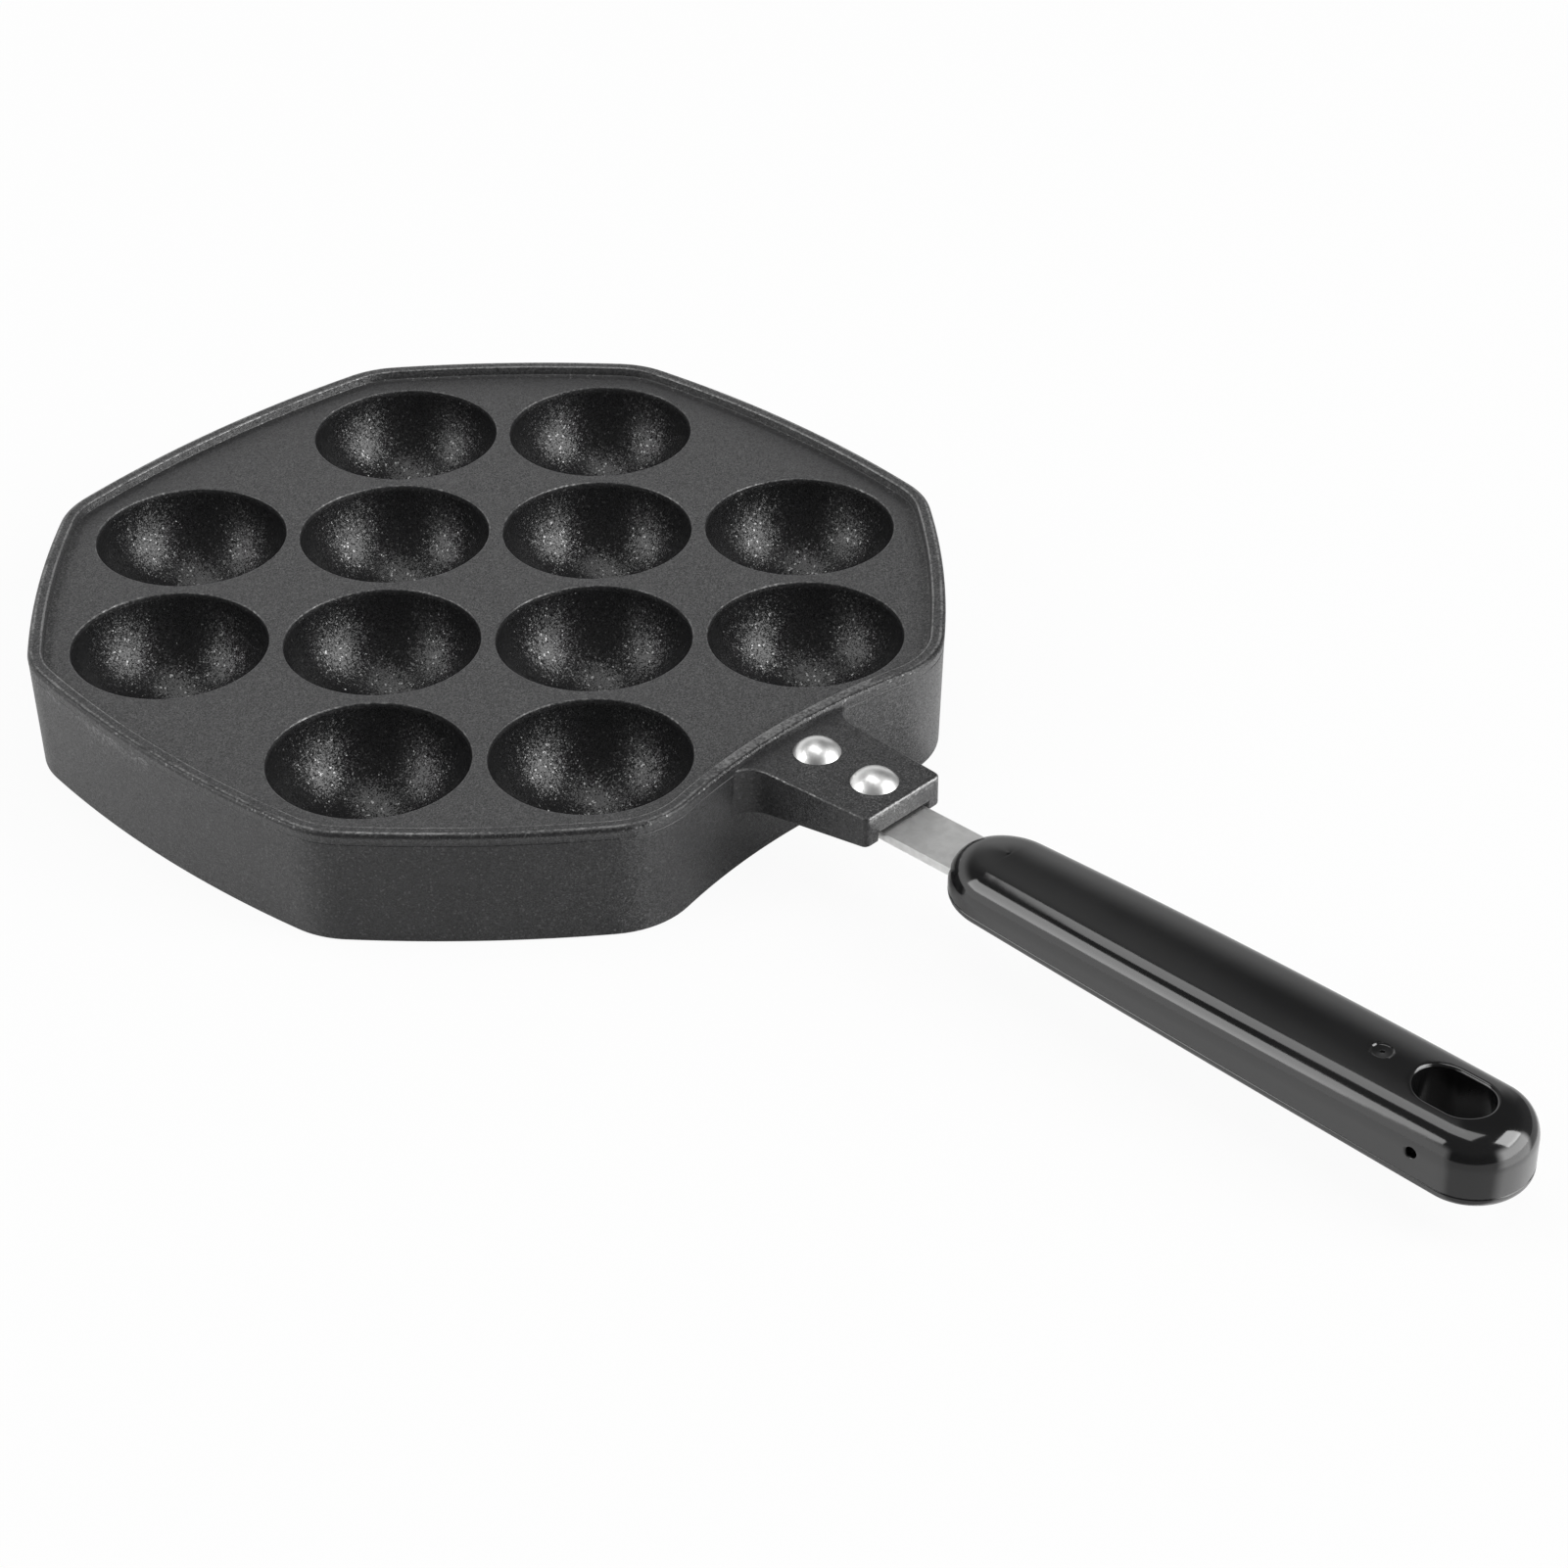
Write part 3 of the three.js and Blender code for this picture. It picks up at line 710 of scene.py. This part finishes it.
# The tray's painted sheen and its duller gloss count in full, the top of the rim in part, and the lug not
# at all
on_tray = np.where(spots[:, 2] > plate_top - 0.15, 1.0, 0.0)
on_tray[spots[:, 2] > pan_height - 0.4] = 0.4
on_tray[(spots[:, 0] > handle_side_reach) & (np.abs(spots[:, 1]) < handle_zone)] = 0.0
add_region("glossy_painted_shade", glossy_painted_shade_values)
add_region("on_tray", on_tray)

# %% [markdown]
# ## Finishing a piece
# A finished piece is scaled to metres, moved to its place, shaded smooth with real creases kept, and
# tied to the frame: it rides on the body, and the CAD node that it replaces is hidden. Before
# that, points that a Boolean left on top of each other are merged, so that the mesh stays closed. The
# Weighted Normal modifier lets large faces decide the shading, so flat faces look flat right up to
# their rounded edges. Later, dress puts its material in its one slot.

# %% Finish a piece
def dress(piece, material):
    piece.data.materials.clear()
    piece.data.materials.append(material)
    piece.data.polygons.foreach_set("material_index", [0] * len(piece.data.polygons))


def on_straight_edge(vert):
    """True where only two edges meet and run straight on, within about one degree."""
    return len(vert.link_edges) == 2 and vert.calc_edge_angle(math.pi) < 0.02


def clean_mesh(mesh):
    """Merges doubled points, and removes faces without area and points that no edge needs."""
    work = bmesh.new()
    work.from_mesh(mesh)
    before = len(work.faces)
    bmesh.ops.remove_doubles(work, verts=work.verts, dist=0.003)
    bmesh.ops.dissolve_degenerate(work, dist=0.001, edges=work.edges)
    bmesh.ops.dissolve_verts(work, verts=[vert for vert in work.verts if on_straight_edge(vert)])
    open_edges = sum(1 for edge in work.edges if not edge.is_manifold)
    print("cleaned", before - len(work.faces), "faces away,", open_edges, "edges without two faces")
    work.to_mesh(mesh)
    work.free()


def finish_piece(piece, name, node, crease=38):
    piece.name = name
    piece.data.name = name
    clean_mesh(piece.data)
    piece.data.transform(Matrix.Diagonal((0.001, 0.001, 0.001, 1)) @ Matrix.Translation((pan_centre, 0, 0)))
    piece.data.shade_smooth()
    piece.data.set_sharp_from_angle(angle=math.radians(crease))
    weighted = piece.modifiers.new("weighted normals", "WEIGHTED_NORMAL")
    weighted.keep_sharp = True
    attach(piece, "root")
    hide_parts(node)
    print(name, "has", len(piece.data.polygons), "faces")


finish_piece(casting, "coated_pan", "pan_body")

# %% [markdown]
# ## The strap
# A plain strip of rolled steel runs under the lug and into the grip. It is cut from sheet, so its
# outline is simple and its edges are only slightly rounded.

# %% Strap
strap_top = channel_roof - strap_gap
strap_bottom = strap_top - strap_thickness
strap_start = groove_start + strap_gap
strap_seen, strap_hidden = 14.8, 80.4  # its lengths in front of the grip and inside it
grip_front = lug_end + strap_seen
strap_end = grip_front + strap_hidden
post_x = strap_end - 10
post_radius, post_hole_radius = 2.7, 3
strap_corner = 2


def tongue_plan(start, end, half):
    """A long strip, square at its start and with rounded corners at its end."""
    plan = [(start, -half)]
    plan += curve_to((end - strap_corner, -half), (end, -half), (end, -half + strap_corner), steps=6)
    plan += curve_to((end, half - strap_corner), (end, half), (end - strap_corner, half), steps=6)
    return plan + [(start, half)]


strap_plan = tongue_plan(strap_start, strap_end, strap_half_width)
strap = skin("strap", [[(x, y, z) for x, y in strap_plan] for z in (strap_bottom, strap_top)])
for x in rivet_places:
    cut(strap, peg(rivet_hole_radius, x))
cut(strap, peg(post_hole_radius, post_x))
round_edges(strap, width=0.22, segments=3)
finish_piece(strap, "steel_strap", "handle_strap")

# %% [markdown]
# ## The rivets
# A rivet is turned metal: a smooth low dome with a rounded foot above the lug, a shank, and a flat tail
# hammered under the strap. A section turned about an axis gives all of it.

# %% Rivets
head_radius, head_height = 4.9, 2.8
tail_radius, tail_height = 4.2, 1.6
dome_radius = (head_radius ** 2 + head_height ** 2) / (2 * head_height)
dome_centre = lug_top + head_height - dome_radius
dome_start = math.asin((lug_top + 0.08 - dome_centre) / dome_radius)
rivet_section = rounded([
    (0, strap_bottom - tail_height, 0),
    (tail_radius, strap_bottom - tail_height, 0.6),
    (tail_radius, strap_bottom, 0.2),
    (shank_radius, strap_bottom, 0),
    (shank_radius, lug_top, 0),
    (head_radius - 0.1, lug_top, 0),
])
for k in range(25):
    angle = dome_start + (math.pi / 2 - dome_start) * k / 24
    rivet_section.append((dome_radius * math.cos(angle), dome_centre + dome_radius * math.sin(angle)))
rivet_section[-1] = (0, lug_top + head_height)
for x, name, node in zip(rivet_places, ("inner_rivet", "outer_rivet"), ("rivet_inner", "rivet_outer")):
    finish_piece(turned(name, rivet_section, x, count=72), name, node, crease=50)

# %% [markdown]
# ## The grip
# The grip is a long moulding that widens and deepens towards its rear. Its section has an upright side,
# a large rounding above and a slightly crowned top. Rings that follow the plan outline, each moved in and
# up along that section, give a skin with even reflections. Just above the lower rounding runs the fine
# line where the two halves of the mould meet.

# %% Grip sizes
grip_length, nose_length, tail_length = 131.3, 12.4, 10.8
grip_rear = grip_front + grip_length
nose_end = grip_front + nose_length
tail_start = grip_rear - tail_length
top_round, bottom_round, crown_slope = 6.6, 1.5, 0.19
crown_turn = math.atan(crown_slope)


def along_grip(values, x):
    """A smooth curve through the values at the grip's front, middle and rear."""
    front, middle, rear = values
    t = (x - grip_front) / grip_length
    return front * (1 - t) * (1 - 2 * t) + middle * 4 * t * (1 - t) + rear * t * (2 * t - 1)


def half_width(x):
    return along_grip((10.8, 12.4, 11.9), x)


def shoulder(x):
    return strap_top + along_grip((4.3, 4.3, 3.6), x)


def sole(x):
    return strap_bottom - along_grip((3.9, 5.7, 8.8), x)


print("grip runs from x =", round(grip_front, 1), "to", round(grip_rear, 1), "mm")

# %% Grip plan
# Each point has its place, its outward direction and the nearest x on the grip's middle line
grip_plan = []
end_steps, side_steps = 28, 70
quarter = [math.pi / 2 * k / end_steps for k in range(end_steps + 1)]
near = [(nose_end - nose_length * math.cos(a), -math.cos(a), math.sin(a)) for a in quarter]
near += [(nose_end + (tail_start - nose_end) * k / side_steps, 0.0, 1.0) for k in range(1, side_steps)]
near += [(tail_start + tail_length * math.cos(a), math.cos(a), math.sin(a)) for a in reversed(quarter)]
for side, half in ((-1, near), (1, near[-2:0:-1])):
    for x, lean, wide in half:
        spine = min(max(x, nose_end), tail_start)
        grip_plan.append((x, side * wide * half_width(x), lean, side * wide, spine))
print("grip plan of", len(grip_plan), "points")

# %% Grip skin
def grip_ring(inset, height_at):
    return [(x - nx * inset, y - ny * inset, height_at(x)) for x, y, nx, ny, spine in grip_plan]


mould_line = ((0.0, 1.85), (0.09, 1.93), (0.13, 2.03), (0.09, 2.13), (0.02, 2.2))  # inset, height
side_start = 2.3
grip_rings = []
for k in range(7):
    angle = math.pi / 2 * k / 6
    rise = bottom_round * (1 - math.cos(angle))
    grip_rings.append(grip_ring(bottom_round * (1 - math.sin(angle)), lambda x: sole(x) + rise))
for inset, rise in mould_line:
    grip_rings.append(grip_ring(inset, lambda x: sole(x) + rise))
for share in (0.15, 0.4, 0.7):
    grip_rings.append(grip_ring(
        0.0, lambda x: (sole(x) + side_start) * (1 - share) + (shoulder(x) - top_round) * share))
for k in range(25):
    angle = (math.pi / 2 - crown_turn) * k / 24
    drop = top_round * (1 - math.sin(angle))
    grip_rings.append(grip_ring(top_round * (1 - math.cos(angle)), lambda x: shoulder(x) - drop))
edge_ring = grip_rings[-1]
for share in [k / 16 for k in range(1, 16)]:
    ring = []
    for (x, y, z), (*_, spine) in zip(edge_ring, grip_plan):
        reach = math.hypot(x - spine, y)
        rise = crown_slope * reach * share * (1 - share / 2)
        ring.append((x + (spine - x) * share, y * (1 - share), z + rise))
    grip_rings.append(ring)

# %% Grip faces
grip_count = len(grip_plan)
top_start = (len(grip_rings) - 1) * grip_count
grip_faces = ring_quads(0, grip_count, len(grip_rings))
grip_faces.append(tuple(reversed(range(grip_count))))
for i in range(grip_count // 2):
    strip = [i, i + 1, (grip_count - i - 1) % grip_count, (grip_count - i) % grip_count]
    grip_faces.append(tuple(top_start + k for k in dict.fromkeys(strip)))
grip = mesh_object("grip", [p for ring in grip_rings for p in ring], grip_faces)
lookup = BVHTree.FromPolygons([v.co for v in grip.data.vertices], [p.vertices for p in grip.data.polygons])
print("grip skin of", len(grip.data.polygons), "faces")

# %% [markdown]
# ## Holes in the grip
# The hanging hole is a slot right through, with a rounded lip that follows the crowned top. Its cutter
# is a skin too: at each point its rings follow the height of the grip's own surface, found by looking
# straight down on it. The dimple on top and the small holes in the sides are moulding marks. A pocket
# inside takes the strap.

# %% Hanging hole
def surface_above(x, y):
    return lookup.ray_cast(Vector((x, y, 60)), Vector((0, 0, -1)))[0].z


def surface_below(x, y):
    return lookup.ray_cast(Vector((x, y, -60)), Vector((0, 0, 1)))[0].z


hole_x = grip_rear - 16.1
slot_round, slot_straight = 5.5, 2.3
hole_lip = 0.9
lip_over = 0.012  # how far the lip's last ring stands clear of the grip, so that the cut is clean


def slot_ring(grow, height_at):
    ring = []
    for end, start in ((slot_straight, -math.pi / 2), (-slot_straight, math.pi / 2)):
        for k in range(33):
            angle = start + math.pi * k / 32
            x = hole_x + end + (slot_round + grow) * math.cos(angle)
            y = (slot_round + grow) * math.sin(angle)
            ring.append((x, y, height_at(x, y)))
    return ring


slot_rings = [slot_ring(hole_lip, lambda x, y: 0)]
for k in range(6):
    angle = math.pi / 2 * k / 5
    rise = hole_lip * (1 - math.cos(angle)) - lip_over
    slot_rings.append(slot_ring(hole_lip * (1 - math.sin(angle)), lambda x, y: surface_below(x, y) + rise))
for k in range(8):
    angle = math.pi / 2 * k / 7
    drop = hole_lip * (1 - math.sin(angle)) - lip_over
    slot_rings.append(slot_ring(hole_lip * (1 - math.cos(angle)), lambda x, y: surface_above(x, y) - drop))
slot_rings.append(slot_ring(hole_lip, lambda x, y: 32))
cut(grip, skin("slot", slot_rings))
print("hanging hole at x =", round(hole_x, 1), "mm")

# %% Dimple and side holes
dimple_x = hole_x - 15.6
dimple_top = surface_above(dimple_x, 0)
dimple_section = rounded([
    (0, dimple_top - 0.95, 0), (0.4, dimple_top - 0.9, 0.12), (0.5, dimple_top - 0.34, 0.08),
    (1.9, dimple_top - 0.3, 0.4), (2.25, dimple_top - 0.02, 0.15), (2.6, dimple_top + 0.1, 0),
    (2.6, dimple_top + 1.5, 0), (0, dimple_top + 1.5, 0),
])
cut(grip, turned("dimple", dimple_section, dimple_x, 0, count=64))
pin_section = rounded([
    (0, -3, 0), (1.1, -3, 0.2), (1.1, -0.2, 0.3), (1.6, 0.05, 0), (1.6, 1, 0), (0, 1, 0),
])
for side in (-1, 1):
    pin = turned("pin", pin_section, count=40)
    outwards = Matrix.Rotation(-side * math.pi / 2, 4, "X")
    pin.data.transform(Matrix.Translation((hole_x, side * half_width(hole_x), strap_bottom - 1)) @ outwards)
    cut(grip, pin)
print("dimple at x =", round(dimple_x, 1), "mm")

# %% Pocket for the strap
pocket_plan = tongue_plan(grip_front - 2, strap_end + strap_gap, strap_half_width + strap_gap)
pocket_heights = (strap_bottom - strap_gap, strap_top + strap_gap)
pocket = skin("pocket", [[(x, y, z) for x, y in pocket_plan] for z in pocket_heights])
cut(pocket, peg(post_radius, post_x))
cut(grip, pocket)
print("pocket", round(strap_end + strap_gap - grip_front, 1), "mm deep")

# %% Bore of the hanging hole
def in_bore(spot):
    beyond = max(abs(spot.x - hole_x) - slot_straight, 0)
    return math.hypot(beyond, spot.y) < slot_round + 0.06


bore = grip.data.attributes.new("bore", "FLOAT", "POINT")
bore.data.foreach_set("value", [1.0 if in_bore(vertex.co) else 0.0 for vertex in grip.data.vertices])
finish_piece(grip, "black_grip", "handle_grip")

# %% [markdown]
# ## The coat
# The casting has a dark non-stick coat with fine bright flakes in it. Close up it is a field of tiny
# facets: most are dark, and in a lamp's reflection some of them flash. Random cells that tilt the
# surface a little give those facets, and each also gets its own share of the colour. A few cells of a
# second, coarser pattern are the flakes, which are metal. Along worn edges the coat gives way to grey
# metal in broken patches.

# %% Material helpers
def new_material(name):
    material = bpy.data.materials.new(name)
    material.use_nodes = True
    material.node_tree.nodes.clear()
    spot = add_node(material.node_tree, "ShaderNodeTexCoord").outputs["Object"]
    return material, material.node_tree, spot


def noise(tree, where, scale, detail):
    inputs = {"Vector": where, "Scale": scale, "Detail": detail}
    return add_node(tree, "ShaderNodeTexNoise", inputs).outputs[0]


def cells(tree, where, scale):
    """A random colour for each cell."""
    return add_node(tree, "ShaderNodeTexVoronoi", {"Vector": where, "Scale": scale}).outputs["Color"]


def point_value(tree, name):
    """The number that the mesh carries on its points under this name."""
    return add_node(tree, "ShaderNodeAttribute", attribute_name=name).outputs["Fac"]


def one_channel(tree, colour, channel):
    return add_node(tree, "ShaderNodeSeparateColor", {0: colour}).outputs[channel]


def vector_maths(tree, operation, inputs):
    return add_node(tree, "ShaderNodeVectorMath", inputs, operation=operation).outputs


def bump(tree, height, distance, strength, **more):
    inputs = {"Height": height, "Distance": distance, "Strength": strength, **more}
    return add_node(tree, "ShaderNodeBump", inputs).outputs[0]


def surface(tree, sockets):
    shader = add_node(tree, "ShaderNodeBsdfPrincipled", sockets)
    add_node(tree, "ShaderNodeOutputMaterial", {"Surface": shader.outputs[0]})
    print("surface with", len(tree.nodes), "nodes")


# %% Facets of the coat
facets_per_metre = 4000.0
facet_tilt, less_tilt_in_cups = 0.62, 0.1

coat, tree, spot = new_material("speckled_coat")
glossy_painted_shade_mask = point_value(tree, "glossy_painted_shade")
on_plate = point_value(tree, "on_tray")
facets = cells(tree, spot, facets_per_metre)
tilt = vector_maths(tree, "SUBTRACT", {0: facets, 1: (0.5, 0.5, 0.5)})[0]
reach = vector_maths(tree, "LENGTH", {0: tilt})["Value"]
steepness = maths(tree, "SUBTRACT", facet_tilt, maths(tree, "MULTIPLY", glossy_painted_shade_mask, less_tilt_in_cups))
steepness = maths(tree, "MULTIPLY", reach, steepness)
tilt = vector_maths(tree, "SCALE", {0: tilt, "Scale": steepness})[0]
facing = add_node(tree, "ShaderNodeNewGeometry").outputs["Normal"]
tilted = vector_maths(tree, "ADD", {0: facing, 1: tilt})[0]
tilted = vector_maths(tree, "NORMALIZE", {0: tilted})[0]
peel = noise(tree, spot, scale=700.0, detail=3.0)
rough_skin = bump(tree, peel, distance=0.00006, strength=0.6, Normal=tilted)
print("facets of", 1000 / facets_per_metre, "mm")

# %% Colours of the coat
coat_thin, coat_thick = (0.032, 0.032, 0.033, 1), (0.039, 0.039, 0.040, 1)
# The near-black is painted shade for the cups, the rim's foot and the rim's outer rounding
tray_painted_sheen, painted_shade_black = (0.057, 0.057, 0.058, 1), (0.015, 0.015, 0.0155, 1)
flake_grey, bare_grey = (0.17, 0.17, 0.17, 1), (0.30, 0.30, 0.30, 1)
flakes_per_metre = 2600.0
flake_from, flake_full = 0.93, 0.97  # of a random number per cell, where a flake starts and is complete

clouds = noise(tree, spot, scale=55.0, detail=4.0)
tone = blend(tree, between(tree, clouds, 0.3, 0.7), coat_thin, coat_thick)
# Painted sheen: the tray, and the rim's top in part, painted a lighter grey for the room reflected in them
tone = blend(tree, on_plate, tone, tray_painted_sheen)
# Painted shade: darker in the cups, at the rim's foot and over the rim's outer rounding
tone = blend(tree, glossy_painted_shade_mask, tone, painted_shade_black)
grain = maths(tree, "ADD", maths(tree, "MULTIPLY", one_channel(tree, facets, 1), 0.9), 0.55)
tone = vector_maths(tree, "SCALE", {0: tone, "Scale": grain})[0]
chance = one_channel(tree, cells(tree, spot, flakes_per_metre), 0)
flake_strength = maths(tree, "ADD", 0.5, maths(tree, "MULTIPLY", glossy_painted_shade_mask, 0.5))
flake = maths(tree, "MULTIPLY", between(tree, chance, flake_from, flake_full), flake_strength)
tone = blend(tree, flake, tone, flake_grey)
print("flakes in", round(100 * (1 - flake_from)), "percent of the cells")

# %% Worn edges and gloss of the coat
near_edge = point_value(tree, "wear")
patches = maths(tree, "MULTIPLY", noise(tree, spot, scale=1300.0, detail=3.0), 0.7)
broad = maths(tree, "MULTIPLY", noise(tree, spot, scale=90.0, detail=2.0), 0.5)
worn = maths(tree, "ADD", near_edge, maths(tree, "ADD", patches, broad))
bare = between(tree, maths(tree, "SUBTRACT", worn, 1.0), 0.25, 0.6)
smoother = maths(tree, "MULTIPLY", glossy_painted_shade_mask, 0.1)
smoother = maths(tree, "SUBTRACT", smoother, maths(tree, "MULTIPLY", on_plate, 0.06))
surface(tree, {
    "Base Color": blend(tree, bare, tone, bare_grey),
    "Metallic": maths(tree, "MAXIMUM", maths(tree, "MULTIPLY", bare, 0.6), flake),
    "Roughness": maths(tree, "SUBTRACT", between(tree, clouds, 0.25, 0.75, start=0.31, end=0.36), smoother),
    "IOR": 1.54,
    # Less reflection where the shade is painted, as part of that painted shade
    "Specular IOR Level": maths(tree, "SUBTRACT", 0.5, maths(tree, "MULTIPLY", glossy_painted_shade_mask, 0.07)),
    "Normal": rough_skin,
})
dress(casting, coat)

# %% [markdown]
# ## The metals
# Rolled steel shows fine lines along its length. Noise that is stretched along the strap makes them: it
# moves the roughness and lifts a shallow bump. The rivets are polished but handled, so their gloss is
# uneven and has a few dents too small to see one by one. A clear layer over that soft metal adds the
# sharp dot of light that each rivet has in the photo.

# %% Steel
steel, tree, spot = new_material("rolled_steel")
along_strap = {"Vector": spot, "Scale": (60.0, 5200.0, 5200.0)}
rolled = noise(tree, add_node(tree, "ShaderNodeMapping", along_strap).outputs[0], scale=1.0, detail=3.0)
stain = between(tree, noise(tree, spot, scale=500.0, detail=4.0), 0.3, 0.7)
surface(tree, {
    "Base Color": blend(tree, stain, (0.88, 0.88, 0.87, 1), (0.99, 0.99, 0.98, 1)),
    "Metallic": 1.0,
    "Roughness": between(tree, rolled, 0.3, 0.7, start=0.38, end=0.46),
    "Normal": bump(tree, rolled, distance=0.00003, strength=0.5),
})
dress(strap, steel)

# %% Rivet metal
polished, tree, spot = new_material("polished_rivet")
handled = noise(tree, spot, scale=420.0, detail=4.0)
clouded = between(tree, handled, 0.3, 0.7)
surface(tree, {
    "Base Color": blend(tree, clouded, (0.90, 0.90, 0.89, 1), (0.98, 0.98, 0.97, 1)),
    "Metallic": 1.0,
    "Roughness": between(tree, handled, 0.3, 0.7, start=0.40, end=0.48),
    "Coat Weight": 1.0,
    "Coat Roughness": 0.08,
    "Coat IOR": 2.2,
    "Normal": bump(tree, handled, distance=0.00006, strength=0.35),
})
for name in ("inner_rivet", "outer_rivet"):
    dress(bpy.data.objects[name], polished)

# %% [markdown]
# ## The moulding
# The grip is hard black resin, moulded to a high gloss. Almost all that is seen of it are reflections, so
# the colour is nearly black and the gloss does the work: slightly uneven, with fine scuffs lengthwise
# and a faint ripple in the surface, as mouldings have. The wall of the hanging hole is as the core of
# the mould left it, duller; its reflection is also turned almost off, as painted shade for the dark deep
# in the hole.

# %% Grip material
resin, tree, spot = new_material("black_resin")
along_handle = {"Vector": spot, "Scale": (120.0, 2600.0, 2600.0)}
scuffs = noise(tree, add_node(tree, "ShaderNodeMapping", along_handle).outputs[0], scale=1.0, detail=3.0)
handled = noise(tree, spot, scale=45.0, detail=5.0)
in_the_bore = point_value(tree, "bore")
dulled = between(tree, handled, 0.3, 0.7, start=0.07, end=0.1)
dulled = maths(tree, "ADD", dulled, maths(tree, "MULTIPLY", scuffs, 0.04))
dulled = maths(tree, "ADD", dulled, maths(tree, "MULTIPLY", in_the_bore, 0.12))
greyed = between(tree, handled, 0.3, 0.7)
surface(tree, {
    "Base Color": blend(tree, greyed, (0.005, 0.005, 0.0053, 1), (0.008, 0.008, 0.0083, 1)),
    "Roughness": dulled,
    "IOR": 1.78,
    # Painted shade: the bore's reflection is turned almost off
    "Specular IOR Level": maths(tree, "SUBTRACT", 0.5, maths(tree, "MULTIPLY", in_the_bore, 0.44)),
    "Normal": bump(tree, noise(tree, spot, scale=140.0, detail=2.0), distance=0.00005, strength=0.4),
})
dress(grip, resin)

# %% [markdown]
# ## View transform
# The view transform is Standard, so that colours come out as written.

# %% Finish
bpy.context.scene.view_settings.view_transform = "Standard"
